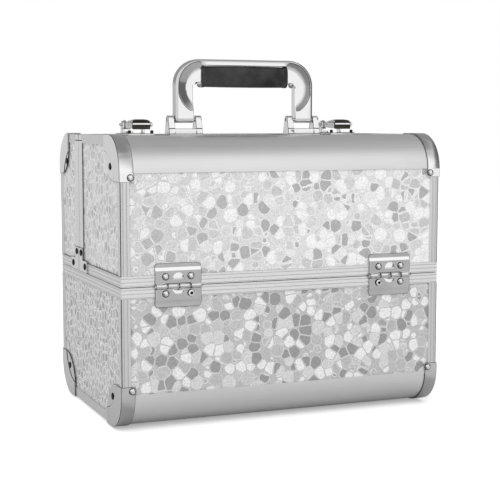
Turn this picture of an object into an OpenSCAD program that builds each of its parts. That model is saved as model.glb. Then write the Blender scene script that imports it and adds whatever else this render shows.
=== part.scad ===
// Makeup train case: a base, a front lid and a rear lid that open outwards,
// four cantilever trays on parallel arms, a folding handle and two draw latches.
// Millimetres. +Z is up, -Y is the front, and the origin is on the floor under the middle.

/* [Case] */
// Outside width of the case body
body_w = 303; // [290:1:320]
// Outside depth of the case body
body_d = 205; // [200:1:220]
// Height from the floor to the top of the closed lids
case_h = 252.5; // [249:0.5:266]
// Height of the seam between the base and the lids
seam_z = 125.5; // [123:0.5:128]
// Distance from the middle back to the split between the two lids
split_y = 33.5; // [31:0.5:38]
// Radius of the rounded long edges
round_r = 31; // [29:1:33]

/* [Walls] */
// How far the metal profiles stand proud of the boards
proud = 1; // [0.8:0.1:1.2]
// Thickness of the boards
board_t = 3.2; // [2.8:0.1:3.4]
// Thickness of the inside lining
lining_t = 1.2; // [0.8:0.1:1.4]
// Gap between base and lids, and between the two lids
lid_gap = 0.4; // [0.3:0.1:0.6]

/* [Profiles and caps] */
// Width of the edge profiles on each face
edge_w = 8; // [7:0.5:9]
// Height of the rim profiles along the seam
rim_h = 9.5; // [8.5:0.5:10.5]
// Width of the profiles along the split of the lids
split_w = 13; // [11:0.5:14]
// Thickness of the corner caps and corner plates
cap_t = 1; // [0.8:0.1:1.2]
// Reach of a corner cap along the depth of the case
cap_y = 46.5; // [42:0.5:48]
// Reach of the shorter caps on the rear lid
cap_y_short = 33; // [32:0.5:36]
// Reach of a corner cap along the height of the case
cap_z = 38.5; // [37.5:0.5:42]
// Width of the band that a corner cap wraps over the long faces
cap_band = 12.5; // [11:0.5:14]

/* [Hardware] */
// Distance of each hinge and latch from the middle
hinge_x = 101.3; // [98:0.1:104]
// Width of the hinge leaves
hinge_w = 41.5; // [38:0.5:44]
// Radius of the hinge knuckles
knuckle_r = 2.2; // [2:0.1:2.3]
// Height of the rubber feet under the case
foot_h = 2.5; // [2:0.1:3]

/* [Handle] */
// Height of the handle above the closed lid
handle_h = 70; // [66:1:74]
// Half of the handle's outside width
handle_x = 69.5; // [69:0.5:70.5]
// Half of the grip's length
grip_x = 42.6; // [40:0.2:44]
// Height of the grip's section
grip_h = 20.2; // [18:0.2:21]

/* [Trays] */
// Reach of the arms to the lower trays, along each of depth and height
arm_low = 24; // [23:0.5:25]
// Distance of the upper trays' inner pivots from the middle
arm_mid = 8; // [7.5:0.5:9]
// Wall thickness of the trays
tray_t = 1.6; // [1.4:0.1:1.8]

/* [Hidden] */
$fn = 64;

half_w = body_w / 2;
half_d = body_d / 2;
// Depths below the outside of the profiles: back of the board, and inside of the lining
wall_t = proud + board_t;
shell_t = wall_t + lining_t;
in_x = half_w - shell_t;
web_t = 1.5;
// The profiles meet at their corners with a hairline joint
joint_gap = 0.05;
side_bar_y = half_d - shell_t - joint_gap;
// Edges of the parts at the seam and at the split
base_top = seam_z - lid_gap / 2;
lid_low = seam_z + lid_gap / 2;
base_board_top = base_top - web_t;
base_rim_low = base_top - rim_h;
lid_board_low = lid_low + web_t;
lid_rim_top = lid_low + rim_h;
far = 400;

// Hinge line, outside the long faces, at the height of the seam
hinge_out = 2.4;
hinge_y = half_d + hinge_out;
hinge_pin_r = 1.2;
run_fit = 0.05;
leaf_t = 1.3;
knuckle_gap = 0.8;
leaf_up = 19.6;
leaf_down = 18.1;
joggle_run = 2.8;
leaf_tail = 3.6;
leaf_corner_r = 2.8;
leaf_clear = 0.1;
knuckle_lap = 0.2;

// Trays and arms: the arm pivots sit low on the side walls of the base
arm_pivot_down = 7.5;
arm_outer_in = 20.5;
arm_inner_in = 36.5;
arm_high = half_d - arm_inner_in - arm_mid;
arm_wall_gap = 2.2;
arm_pivot_z = seam_z - arm_pivot_down;
arm_outer_y = half_d - arm_outer_in;
arm_inner_y = half_d - arm_inner_in;
arm_w = 7;
arm_eye_r = 4.2;
arm_t = 1.5;
arm_x0 = in_x - arm_wall_gap;
tray_wall_gap = 2.7;
tray_x = in_x - tray_wall_gap;
arm_pin_r = 1.5;
pin_head_r = 2.2;
pin_head_t = 0.8;
side_play = 0.2;
tray_back_y = 3;
low_tray_in = 15.5;
high_tray_in = 12.5;
low_tray_drop = 12.5;
high_tray_drop = 11.5;
high_tray_rise = 29.5;
tray_gap = 2.5;
low_tray_y = half_d - low_tray_in;
high_tray_y = half_d - high_tray_in;
high_tray_z = [seam_z + arm_high - high_tray_drop, seam_z + arm_high + high_tray_rise];
low_tray_z = [seam_z + arm_low - low_tray_drop, high_tray_z[0] - tray_gap];
divider_x = 48;

// Rivets
rivet_r = 3.2;
rivet_h = 1.1;
hinge_rivet_dx = 11.3;
hinge_rivet_up = 8.2;
hinge_rivet_down = 6.4;
cap_front_rivet = [8.9, 34.8];
cap_side_rivet = [27, 26];
// Straight part of a cap's edge beside its rounded inner corner
cap_notch = 6;
emboss_d = 0.4;
emboss_r = 34.5;
emboss_at = [48.4, 47.4];

// Corner plates on the sides, where the split meets the seam
plate_y = 28.5;
plate_z = 22;
plate_low_z = 11.2;
plate_rivet_high = [7.5, 17.5];
plate_rivet_low = [21, 5.6];

// Handle, measured up from the closed lid
handle_pin_z = 13.6;
handle_pin_r = 1.6;
leg_in_x = 51.6;
leg_half_y = 3.2;
bow_half_y = 6.5;
bow_corner_r = 24;
bow_bar = 6.5;
bracket_x = [43.4, 76.2];
cheek_t = 6;
cheek_half_y = [7.5, 3.75];
cheek_round_z = 13.6;
bracket_floor = 1.5;
bracket_wall_h = 5.3;
grip_low = handle_h - bow_bar - grip_h;
dish_r = 25.5;
dish_x = 41.7;
dish_y = 4.4;

// Latch, measured up from the closed lid
latch_x = 102;
lever_half_w = 8.5;
lever_y = [-5, 10.5];
lever_z = [4.7, 13.9];
lever_wall = 1.6;
latch_pivot = [24, 9];
link_pivot = [15, 8];
link_pin_r = 1.2;
ear_r = 3.5;
ear_x = [8.9, 10.7];
latch_plate_half_x = 12.4;
latch_plate_y0 = -3;
latch_plate_t = 1;
pin_end_x = 12.6;
hook_half_w = 3;
hook_boss_r = 2.8;
hook_t = 2;
strike_lip_y = 38;
strike_lip_t = 1;
strike_lip_z = 2.6;
hook_tip_gap = 0.5;
hook_tip_t = 1.2;
hook_tip_z = 4.5;

// ---------- shared helpers ----------

module block(low, high) {
    translate(low) cube(high - low);
}

module both_sides() {
    children();
    mirror([1, 0, 0]) children();
}

module both_ends() {
    children();
    mirror([0, 1, 0]) children();
}

// Runs a shape drawn in depth and height along the width
module along_x(x0, x1) {
    translate([x0, 0, 0]) rotate([90, 0, 90]) linear_extrude(x1 - x0) children();
}

// Runs a shape drawn in width and height along the depth
module along_y(y0, y1) {
    translate([0, y1, 0]) rotate([90, 0, 0]) linear_extrude(y1 - y0) children();
}

// Side view of the case, set in from the outside
module outline(inset) {
    r = round_r - inset;
    y = half_d - inset;
    z0 = foot_h + inset;
    z1 = case_h - inset;
    translate([-y, z0 + r]) square([2 * y, z1 - z0 - 2 * r]);
    translate([r - y, z0]) square([2 * (y - r), z1 - z0]);
    for (side = [-1, 1], z = [z0 + r, z1 - r])
        translate([side * (y - r), z]) circle(r);
}

// A layer of the side view between two insets
module outline_layer(inset0, inset1) {
    difference() {
        outline(inset0);
        outline(inset1);
    }
}

// A domed head that sits on a face and points along +Z
module dome(r, h) {
    ball_r = (r * r + h * h) / (2 * h);
    intersection() {
        translate([0, 0, h - ball_r]) sphere(ball_r);
        cylinder(r = r, h = h);
    }
}

// Regions that cut the shell into base, front lid and rear lid
module base_region(top) {
    block([-far, -far, -far], [far, far, top]);
}

module front_region(low, back) {
    block([-far, -far, low], [far, back, far]);
}

module rear_region(low, front) {
    block([-far, front, low], [far, far, far]);
}

front_edge_y = split_y - lid_gap / 2;
rear_edge_y = split_y + lid_gap / 2;

// ---------- profiles ----------

// Curved profile round the edge of one side wall: a core with a leg on each face
module edge_profile() {
    along_x(half_w - wall_t, half_w) outline_layer(0, wall_t);
    along_x(half_w - proud, half_w) outline_layer(0, edge_w);
    along_x(half_w - edge_w, half_w) outline_layer(0, proud);
}

// Channel that grips the walls along the seam, with its web at z and its legs running up
module rim_ring() {
    difference() {
        block([-half_w, -half_d, 0], [half_w, half_d, rim_h]);
        block([-in_x, shell_t - half_d, -far], [in_x, half_d - shell_t, far]);
        difference() {
            block([proud - half_w, proud - half_d, web_t], [half_w - proud, half_d - proud, far]);
            block([wall_t - half_w, wall_t - half_d, 0], [half_w - wall_t, half_d - wall_t, far]);
        }
    }
}

module rim_long_bar() {
    intersection() {
        rim_ring();
        block([-far, -far, -far], [far, shell_t - half_d, far]);
    }
}

module rim_side_bar(y0, y1) {
    intersection() {
        rim_ring();
        block([0, y0, -far], [far, y1, far]);
    }
}

// Channel along the split, over the top and down both sides; the web is at y = 0
module split_layer(inset0, inset1, y0, y1) {
    difference() {
        block([inset0 - half_w, y0, lid_rim_top], [half_w - inset0, y1, case_h - inset0]);
        block([inset1 - half_w, -far, -far], [half_w - inset1, far, case_h - inset1]);
    }
}

module split_channel() {
    split_layer(0, proud, -split_w, 0);
    split_layer(wall_t, shell_t, -split_w, 0);
    split_layer(0, shell_t, -web_t, 0);
}

module split_bars() {
    intersection() {
        split_channel();
        block([-far, -far, case_h - shell_t], [far, far, far]);
    }
    both_sides() intersection() {
        split_channel();
        block([0, -far, -far], [far, far, case_h - shell_t - joint_gap]);
    }
}

// ---------- corner caps, drawn inwards from the corner of the side view ----------

module cap_outline(grow, reach) {
    in_r = min(reach, cap_z) - cap_notch;
    difference() {
        translate([-grow, -grow]) square([reach + grow, cap_z + grow]);
        difference() {
            translate([-grow, -grow]) square(round_r + grow);
            translate([round_r, round_r]) circle(round_r + grow);
        }
        difference() {
            translate([reach - in_r, cap_z - in_r]) square(in_r + 1);
            translate([reach - in_r, cap_z - in_r]) circle(in_r);
        }
    }
}

module cap_inside() {
    difference() {
        square(far);
        difference() {
            square(round_r);
            translate([round_r, round_r]) circle(round_r);
        }
    }
}

// The cap of the lower front corner on the right-hand side
module corner_cap(reach) {
    translate([0, -half_d, foot_h]) {
        difference() {
            along_x(half_w, half_w + cap_t) cap_outline(cap_t, reach);
            along_x(half_w + cap_t - emboss_d, far) translate(emboss_at) circle(emboss_r);
        }
        along_x(half_w - cap_band + cap_t, half_w) difference() {
            cap_outline(cap_t, reach);
            cap_inside();
        }
    }
}

module cap_rivets() {
    translate([half_w - cap_front_rivet[0], -half_d - cap_t, foot_h + cap_front_rivet[1]])
        rotate([90, 0, 0]) dome(rivet_r, rivet_h);
    translate([half_w + cap_t - emboss_d, cap_side_rivet[0] - half_d, foot_h + cap_side_rivet[1]])
        rotate([0, 90, 0]) dome(rivet_r, rivet_h);
}

// Lifts what is drawn for the lower corners to the upper ones
module on_top() {
    translate([0, 0, case_h + foot_h]) mirror([0, 0, 1]) children();
}

// ---------- hinges, drawn on the front face ----------

module leaf_section(length) {
    step_z = length - leaf_tail - joggle_run;
    polygon([
        [0, knuckle_r + leaf_clear], [-leaf_t, knuckle_r + leaf_clear], [-leaf_t, step_z],
        [proud - leaf_t, step_z + joggle_run], [proud - leaf_t, length],
        [proud, length], [proud, step_z + joggle_run], [0, step_z]
    ]);
}

// Front view of a leaf, with the two corners away from the knuckles rounded
module leaf_face(length) {
    square_top = length - leaf_corner_r;
    translate([-hinge_w / 2, 0]) square([hinge_w, square_top]);
    translate([leaf_corner_r - hinge_w / 2, 0]) square([hinge_w - 2 * leaf_corner_r, length]);
    for (side = [-1, 1])
        translate([side * (hinge_w / 2 - leaf_corner_r), square_top]) circle(leaf_corner_r);
}

function knuckle_x(i) = hinge_w * (i / 4 - 1 / 2);

module knuckle_set(first) {
    for (i = first)
        along_x(knuckle_x(i) + knuckle_gap / 2, knuckle_x(i + 1) - knuckle_gap / 2) {
            translate([-hinge_out, 0]) circle(knuckle_r);
            translate([-leaf_t, 0]) square([leaf_t - knuckle_lap, knuckle_r + knuckle_lap]);
        }
}

// One leaf with its knuckles, drawn above the hinge line
module hinge_leaf(length, knuckles) {
    translate([hinge_x, -half_d, 0]) difference() {
        union() {
            intersection() {
                along_x(-hinge_w / 2, hinge_w / 2) leaf_section(length);
                along_y(-hinge_out, knuckle_r) leaf_face(length);
            }
            knuckle_set(knuckles);
        }
        along_x(-hinge_w, hinge_w) translate([-hinge_out, 0]) circle(hinge_pin_r + run_fit);
    }
}

module leaf_rivets(height) {
    for (dx = [-hinge_rivet_dx, hinge_rivet_dx])
        translate([hinge_x + dx, -half_d - leaf_t, height])
            rotate([90, 0, 0]) dome(rivet_r, rivet_h);
}

// ---------- base ----------

module base_long_panels() {
    color([0.83, 0.83, 0.84]) both_ends()
        block([wall_t - half_w, proud - half_d, foot_h + round_r],
              [half_w - wall_t, wall_t - half_d, base_board_top]);
}

module side_board() {
    along_x(half_w - wall_t, half_w - proud) outline(wall_t);
}

module base_side_panels() {
    color([0.83, 0.83, 0.84]) both_sides() intersection() {
        side_board();
        base_region(base_board_top);
    }
}

module base_bottom_panel() {
    color([0.2, 0.2, 0.22])
        block([wall_t - half_w, round_r - half_d, foot_h + proud],
              [half_w - wall_t, half_d - round_r, foot_h + wall_t]);
}

// Rounded profile between a long panel and the bottom or top panel
module lower_quarter_round() {
    intersection() {
        along_x(edge_w - half_w, half_w - edge_w) outline_layer(0, wall_t);
        block([-far, -far, -far], [far, round_r - half_d, foot_h + round_r]);
    }
}

module base_quarter_rounds() {
    color("silver") both_ends() lower_quarter_round();
}

module base_edge_profiles() {
    color("silver") both_sides() intersection() {
        edge_profile();
        base_region(base_rim_low);
    }
}

module base_rim_profiles() {
    color("gainsboro") translate([0, 0, base_top]) mirror([0, 0, 1]) {
        both_ends() rim_long_bar();
        both_sides() rim_side_bar(-side_bar_y, side_bar_y);
    }
}

module base_corner_caps() {
    color([0.75, 0.75, 0.78]) both_sides() both_ends() corner_cap(cap_y);
}

module base_rivets() {
    color("white") both_sides() both_ends() {
        cap_rivets();
        leaf_rivets(seam_z - hinge_rivet_down);
    }
}

module base_feet() {
    foot_r = 8;
    foot_x = 118;
    foot_y = 48;
    color([0.1, 0.1, 0.1]) both_sides() both_ends() translate([foot_x, foot_y, 0])
        cylinder(r1 = foot_r - 1, r2 = foot_r, h = foot_h + proud);
}

module lining() {
    difference() {
        along_x(wall_t - half_w, half_w - wall_t) outline(wall_t);
        along_x(-in_x, in_x) outline(shell_t);
    }
}

module base_lining() {
    color([0.12, 0.12, 0.13]) intersection() {
        lining();
        base_region(base_rim_low);
    }
}

module hinge_lower_leaves() {
    color([0.75, 0.75, 0.78]) both_sides() both_ends()
        translate([0, 0, seam_z]) mirror([0, 0, 1]) hinge_leaf(leaf_down, [1, 2]);
}

module hinge_pins() {
    pin_half = hinge_w / 2 + 0.8;
    color("gray") both_sides() both_ends() translate([hinge_x, -hinge_y, seam_z])
        along_x(-pin_half, pin_half) circle(hinge_pin_r);
}

// Stud on a side wall, pointing inwards, that an arm turns on
module arm_stud() {
    head_x = arm_x0 - side_play;
    along_x(head_x - pin_head_t, head_x) circle(pin_head_r);
    along_x(head_x - pin_head_t, in_x) circle(arm_pin_r);
    along_x(arm_x0 + arm_t + side_play, in_x) circle(pin_head_r);
}

module arm_pivot_studs() {
    color("gray") both_sides() both_ends()
        for (y = [arm_outer_y, arm_inner_y])
            translate([0, -y, arm_pivot_z]) arm_stud();
}

// ---------- lids ----------

module long_lid_panel() {
    block([wall_t - half_w, proud - half_d, lid_board_low],
          [half_w - wall_t, wall_t - half_d, case_h - round_r]);
}

module lid_top_panel(y0, y1) {
    block([wall_t - half_w, y0, case_h - wall_t], [half_w - wall_t, y1, case_h - proud]);
}

module upper_quarter_round() {
    on_top() lower_quarter_round();
}

module lid_rim_long() {
    translate([0, 0, lid_low]) rim_long_bar();
}

module tray_stud() {
    head_x = tray_x - tray_t - side_play;
    translate([0, arm_high - hinge_y, seam_z + arm_high]) {
        along_x(head_x - pin_head_t, in_x) circle(arm_pin_r);
        along_x(head_x - pin_head_t, head_x) circle(pin_head_r);
        along_x(tray_x + side_play, in_x) circle(pin_head_r);
    }
}

module lid_rivets() {
    on_top() cap_rivets();
    leaf_rivets(seam_z + hinge_rivet_up);
}

// Plate in the corner where the split meets the seam; it runs to -Y from y = 0
module corner_plate() {
    along_x(half_w, half_w + cap_t) translate([0, lid_low]) {
        translate([-split_w, 0]) square([split_w, plate_z]);
        translate([-plate_y, 0]) square([plate_y, plate_low_z]);
    }
}

module plate_rivets() {
    for (at = [plate_rivet_high, plate_rivet_low])
        translate([half_w + cap_t, -at[0], lid_low + at[1]])
            rotate([0, 90, 0]) dome(rivet_r, rivet_h);
}

// ---------- front lid ----------

module front_lid_front_panel() {
    color([0.83, 0.83, 0.84]) long_lid_panel();
}

module front_lid_top_panel() {
    color([0.83, 0.83, 0.84]) lid_top_panel(round_r - half_d, front_edge_y - web_t);
}

module front_lid_side_panels() {
    color([0.83, 0.83, 0.84]) both_sides() intersection() {
        side_board();
        front_region(lid_board_low, front_edge_y - web_t);
    }
}

module front_lid_quarter_round() {
    color("silver") upper_quarter_round();
}

module front_lid_edge_profiles() {
    color("silver") both_sides() intersection() {
        edge_profile();
        front_region(lid_rim_top, front_edge_y - split_w);
    }
}

module front_lid_rim_profiles() {
    color("gainsboro") {
        lid_rim_long();
        both_sides() translate([0, 0, lid_low]) rim_side_bar(-side_bar_y, front_edge_y);
    }
}

module front_lid_split_profiles() {
    color("gainsboro") translate([0, front_edge_y, 0]) split_bars();
}

module front_lid_corner_caps() {
    color([0.75, 0.75, 0.78]) both_sides() on_top() corner_cap(cap_y);
}

module front_lid_corner_plates() {
    color([0.75, 0.75, 0.78]) both_sides() translate([0, front_edge_y, 0]) corner_plate();
}

module front_lid_rivets() {
    color("white") both_sides() {
        lid_rivets();
        translate([0, front_edge_y, 0]) plate_rivets();
    }
}

module front_lid_lining() {
    color([0.12, 0.12, 0.13]) intersection() {
        lining();
        front_region(lid_rim_top, front_edge_y - split_w);
    }
}

module front_hinge_leaves() {
    color([0.75, 0.75, 0.78]) both_sides()
        translate([0, 0, seam_z]) hinge_leaf(leaf_up, [0, 3]);
}

module front_tray_studs() {
    color("gray") both_sides() tray_stud();
}

// ---------- rear lid ----------

module rear_lid_rear_panel() {
    color([0.83, 0.83, 0.84]) mirror([0, 1, 0]) long_lid_panel();
}

module rear_lid_top_panel() {
    color([0.83, 0.83, 0.84]) lid_top_panel(rear_edge_y + web_t, half_d - round_r);
}

module rear_lid_side_panels() {
    color([0.83, 0.83, 0.84]) both_sides() intersection() {
        side_board();
        rear_region(lid_board_low, rear_edge_y + web_t);
    }
}

module rear_lid_quarter_round() {
    color("silver") mirror([0, 1, 0]) upper_quarter_round();
}

module rear_lid_edge_profiles() {
    color("silver") both_sides() intersection() {
        edge_profile();
        rear_region(lid_rim_top, rear_edge_y + split_w);
    }
}

module rear_lid_rim_profiles() {
    color("gainsboro") {
        mirror([0, 1, 0]) lid_rim_long();
        both_sides() translate([0, 0, lid_low]) rim_side_bar(rear_edge_y, side_bar_y);
    }
}

module rear_lid_split_profiles() {
    color("gainsboro") translate([0, rear_edge_y, 0]) mirror([0, 1, 0]) split_bars();
}

module rear_lid_corner_caps() {
    color([0.75, 0.75, 0.78]) both_sides() mirror([0, 1, 0]) on_top() corner_cap(cap_y_short);
}

module rear_lid_corner_plates() {
    color([0.75, 0.75, 0.78]) both_sides()
        translate([0, rear_edge_y, 0]) mirror([0, 1, 0]) corner_plate();
}

module rear_lid_rivets() {
    color("white") both_sides() {
        mirror([0, 1, 0]) lid_rivets();
        translate([0, rear_edge_y, 0]) mirror([0, 1, 0]) plate_rivets();
    }
}

module rear_lid_lining() {
    color([0.12, 0.12, 0.13]) intersection() {
        lining();
        rear_region(lid_rim_top, rear_edge_y + split_w);
    }
}

module rear_hinge_leaves() {
    color([0.75, 0.75, 0.78]) both_sides() mirror([0, 1, 0])
        translate([0, 0, seam_z]) hinge_leaf(leaf_up, [0, 3]);
}

module rear_tray_studs() {
    color("gray") both_sides() mirror([0, 1, 0]) tray_stud();
}

// ---------- handle, drawn up from the closed lid ----------

module on_lid() {
    translate([0, 0, case_h]) children();
}

module cheek_section() {
    polygon([
        [-cheek_half_y[0], -proud], [cheek_half_y[0], -proud],
        [cheek_half_y[1], cheek_round_z], [-cheek_half_y[1], cheek_round_z]
    ]);
    translate([0, cheek_round_z]) circle(cheek_half_y[1]);
}

module handle_brackets() {
    color([0.75, 0.75, 0.78]) on_lid() both_sides() difference() {
        union() {
            along_x(bracket_x[0], bracket_x[0] + cheek_t) cheek_section();
            along_x(bracket_x[1] - cheek_t, bracket_x[1]) cheek_section();
            block([bracket_x[0], -cheek_half_y[0], -proud],
                  [bracket_x[1], cheek_half_y[0], bracket_floor - proud]);
            block([bracket_x[0], -cheek_half_y[0] + web_t, -proud],
                  [bracket_x[1], -cheek_half_y[0] + 2 * web_t, bracket_wall_h]);
        }
        along_x(0, far) translate([0, handle_pin_z]) circle(handle_pin_r + run_fit);
    }
}

module handle_pins() {
    color("gray") on_lid() both_sides()
        along_x(bracket_x[0] + 1, bracket_x[1] - 1) translate([0, handle_pin_z]) circle(handle_pin_r);
}

// Front view of the bow: two legs, shoulders and a top bar, with a window for the grip
module bow_front() {
    low = handle_pin_z - leg_half_y;
    difference() {
        union() {
            translate([-handle_x, low]) square([2 * handle_x, handle_h - bow_corner_r - low]);
            translate([bow_corner_r - handle_x, low])
                square([2 * (handle_x - bow_corner_r), handle_h - low]);
            for (side = [-1, 1])
                translate([side * (handle_x - bow_corner_r), handle_h - bow_corner_r])
                    circle(bow_corner_r);
        }
        translate([-leg_in_x, 0]) square([2 * leg_in_x, grip_low]);
        translate([-grip_x, 0]) square([2 * grip_x, grip_low + grip_h]);
    }
}

// Side view of the bow: slim legs that swell towards the grip
module bow_side() {
    swell_z0 = handle_pin_z + 6;
    edge = 2;
    translate([0, handle_pin_z]) circle(leg_half_y);
    polygon([
        [-leg_half_y, handle_pin_z], [leg_half_y, handle_pin_z], [leg_half_y, swell_z0],
        [bow_half_y, grip_low], [bow_half_y, handle_h - edge], [bow_half_y - edge, handle_h],
        [edge - bow_half_y, handle_h], [-bow_half_y, handle_h - edge], [-bow_half_y, grip_low],
        [-leg_half_y, swell_z0]
    ]);
}

module handle_bow() {
    color([0.8, 0.8, 0.82]) on_lid() difference() {
        intersection() {
            along_y(-bow_half_y, bow_half_y) bow_front();
            along_x(-handle_x, handle_x) bow_side();
        }
        both_sides() along_y(-far, -dish_y) translate([dish_x, grip_low]) circle(dish_r);
        along_x(-far, far) translate([0, handle_pin_z]) circle(handle_pin_r + run_fit);
    }
}

module handle_grip() {
    half_y = bow_half_y + 0.8;
    edge_r = 5;
    color([0.08, 0.08, 0.09]) on_lid() along_x(-grip_x, grip_x) {
        translate([-half_y, grip_low + edge_r]) square([2 * half_y, grip_h - 2 * edge_r]);
        translate([edge_r - half_y, grip_low]) square([2 * (half_y - edge_r), grip_h]);
        for (side = [-1, 1], z = [grip_low + edge_r, grip_low + grip_h - edge_r])
            translate([side * (half_y - edge_r), z]) circle(edge_r);
    }
}

// Round-headed screws on the front of the bow, beside the ends of the grip
module grip_screws() {
    screw_r = 2.3;
    screw_h = 1.6;
    screw_out = 3.6;
    screw_up = 2.5;
    color("gray") on_lid() both_sides()
        translate([grip_x + screw_out, -dish_y, grip_low + screw_up])
            rotate([90, 0, 0]) dome(screw_r, screw_h);
}

// ---------- latches, drawn on the lid about x = 0 ----------

module at_latch(side) {
    translate([side * latch_x, 0, case_h]) children();
}

module latch_base() {
    difference() {
        union() {
            block([-latch_plate_half_x, latch_plate_y0, 0],
                  [latch_plate_half_x, front_edge_y, latch_plate_t]);
            block([-latch_plate_half_x, latch_plate_y0, -proud],
                  [latch_plate_half_x, front_edge_y - split_w, 0]);
            both_sides() along_x(ear_x[0], ear_x[1]) {
                translate([latch_pivot[0] - ear_r, 0]) square([2 * ear_r, latch_pivot[1]]);
                translate(latch_pivot) circle(ear_r);
            }
        }
        along_x(-far, far) translate(latch_pivot) circle(link_pin_r + run_fit);
    }
}

module latch_bases() {
    color([0.75, 0.75, 0.78]) for (side = [-1, 1]) at_latch(side) latch_base();
}

module latch_pins() {
    color("gray") for (side = [-1, 1]) at_latch(side) both_sides()
        along_x(lever_half_w - lever_wall - side_play, pin_end_x) translate(latch_pivot) circle(link_pin_r);
}

module lever_cheek() {
    cheek_r = latch_pivot[1] - lever_z[0];
    translate([lever_y[0], lever_z[0]]) square([lever_y[1] - lever_y[0], lever_z[1] - lever_z[0]]);
    translate([lever_y[1], lever_z[0]]) square([latch_pivot[0] - lever_y[1], 2 * cheek_r]);
    translate(latch_pivot) circle(cheek_r);
}

// Lever: a channel that is open below, with a cross pin for the hook
module latch_lever() {
    difference() {
        union() {
            both_sides() along_x(lever_half_w - lever_wall, lever_half_w) lever_cheek();
            block([-lever_half_w, lever_y[0], lever_z[1] - lever_wall],
                  [lever_half_w, lever_y[1], lever_z[1]]);
            block([-lever_half_w, lever_y[0], lever_z[0]],
                  [lever_half_w, lever_y[0] + lever_wall, lever_z[1]]);
        }
        along_x(-far, far) translate(latch_pivot) circle(link_pin_r + run_fit);
    }
    along_x(-lever_half_w, lever_half_w) translate(link_pivot) circle(link_pin_r);
}

// Hook: a flat link over the split with a tip that drops behind the strike's lip
module latch_hook() {
    tip_y = strike_lip_y + strike_lip_t + hook_tip_gap;
    along_x(-hook_half_w, hook_half_w) difference() {
        union() {
            translate(link_pivot) circle(hook_boss_r);
            translate([link_pivot[0], link_pivot[1] - hook_t / 2])
                square([tip_y + hook_tip_t - link_pivot[0], hook_t]);
            translate([tip_y, hook_tip_z])
                square([hook_tip_t, link_pivot[1] - hook_tip_z]);
        }
        translate(link_pivot) circle(link_pin_r + run_fit);
    }
}

module latch_strikes() {
    strike_half_x = 10;
    lip_half_x = 5;
    color([0.75, 0.75, 0.78]) for (side = [-1, 1]) at_latch(side) {
        block([-strike_half_x, rear_edge_y, 0], [strike_half_x, rear_edge_y + split_w, latch_plate_t]);
        block([-lip_half_x, strike_lip_y, 0],
              [lip_half_x, strike_lip_y + strike_lip_t, strike_lip_z]);
    }
}

module latch_lever_left() {
    color([0.8, 0.8, 0.82]) at_latch(-1) latch_lever();
}

module latch_lever_right() {
    color([0.8, 0.8, 0.82]) at_latch(1) latch_lever();
}

module latch_hook_left() {
    color([0.7, 0.7, 0.72]) at_latch(-1) latch_hook();
}

module latch_hook_right() {
    color([0.7, 0.7, 0.72]) at_latch(1) latch_hook();
}

// ---------- trays and arms, drawn at the front ----------

// Arm from a pivot on the base, at 45 degrees, with pins that carry both trays
module arm(pivot_y) {
    length = arm_high * sqrt(2);
    head_x = tray_x - tray_t - side_play;
    translate([0, -pivot_y, arm_pivot_z]) difference() {
        union() {
            along_x(arm_x0, arm_x0 + arm_t) rotate(45) {
                translate([0, -arm_w / 2]) square([length, arm_w]);
                for (end = [0, length])
                    translate([end, 0]) circle(arm_eye_r);
            }
            for (reach = [arm_low, arm_high]) {
                along_x(head_x - pin_head_t, arm_x0) translate([reach, reach]) circle(arm_pin_r);
                along_x(head_x - pin_head_t, head_x) translate([reach, reach]) circle(pin_head_r);
            }
        }
        along_x(0, far) circle(arm_pin_r + run_fit);
    }
}

module arm_pair(pivot_y) {
    color("silver") both_sides() arm(pivot_y);
}

module front_outer_arms() {
    arm_pair(arm_outer_y);
}

module front_inner_arms() {
    arm_pair(arm_inner_y);
}

module rear_outer_arms() {
    mirror([0, 1, 0]) arm_pair(arm_outer_y);
}

module rear_inner_arms() {
    mirror([0, 1, 0]) arm_pair(arm_inner_y);
}

// Open tray with two dividers; pin_holes lists [y, z, radius] of the holes in its end walls
module tray(front_y, z, pin_holes) {
    color([0.15, 0.15, 0.16]) difference() {
        block([-tray_x, -front_y, z[0]], [tray_x, -tray_back_y, z[1]]);
        for (x = [[-tray_x + tray_t, -divider_x - tray_t / 2],
                  [tray_t / 2 - divider_x, divider_x - tray_t / 2],
                  [divider_x + tray_t / 2, tray_x - tray_t]])
            block([x[0], tray_t - front_y, z[0] + tray_t], [x[1], -tray_back_y - tray_t, far]);
        for (hole = pin_holes)
            along_x(-far, far) translate([hole[0], hole[1]]) circle(hole[2]);
    }
}

// Holes for the outer and the inner arm; the inner one has more play
function arm_holes(reach) = [
    [reach - arm_outer_y, arm_pivot_z + reach, arm_pin_r + run_fit],
    [reach - arm_inner_y, arm_pivot_z + reach, arm_pin_r + side_play]
];

module lower_tray() {
    tray(low_tray_y, low_tray_z, arm_holes(arm_low));
}

module upper_tray() {
    lid_hole = [arm_high - hinge_y, seam_z + arm_high, arm_pin_r + side_play];
    tray(high_tray_y, high_tray_z, concat(arm_holes(arm_high), [lid_hole]));
}

module front_lower_tray() {
    lower_tray();
}

module front_upper_tray() {
    upper_tray();
}

module rear_lower_tray() {
    mirror([0, 1, 0]) lower_tray();
}

module rear_upper_tray() {
    mirror([0, 1, 0]) upper_tray();
}

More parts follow.
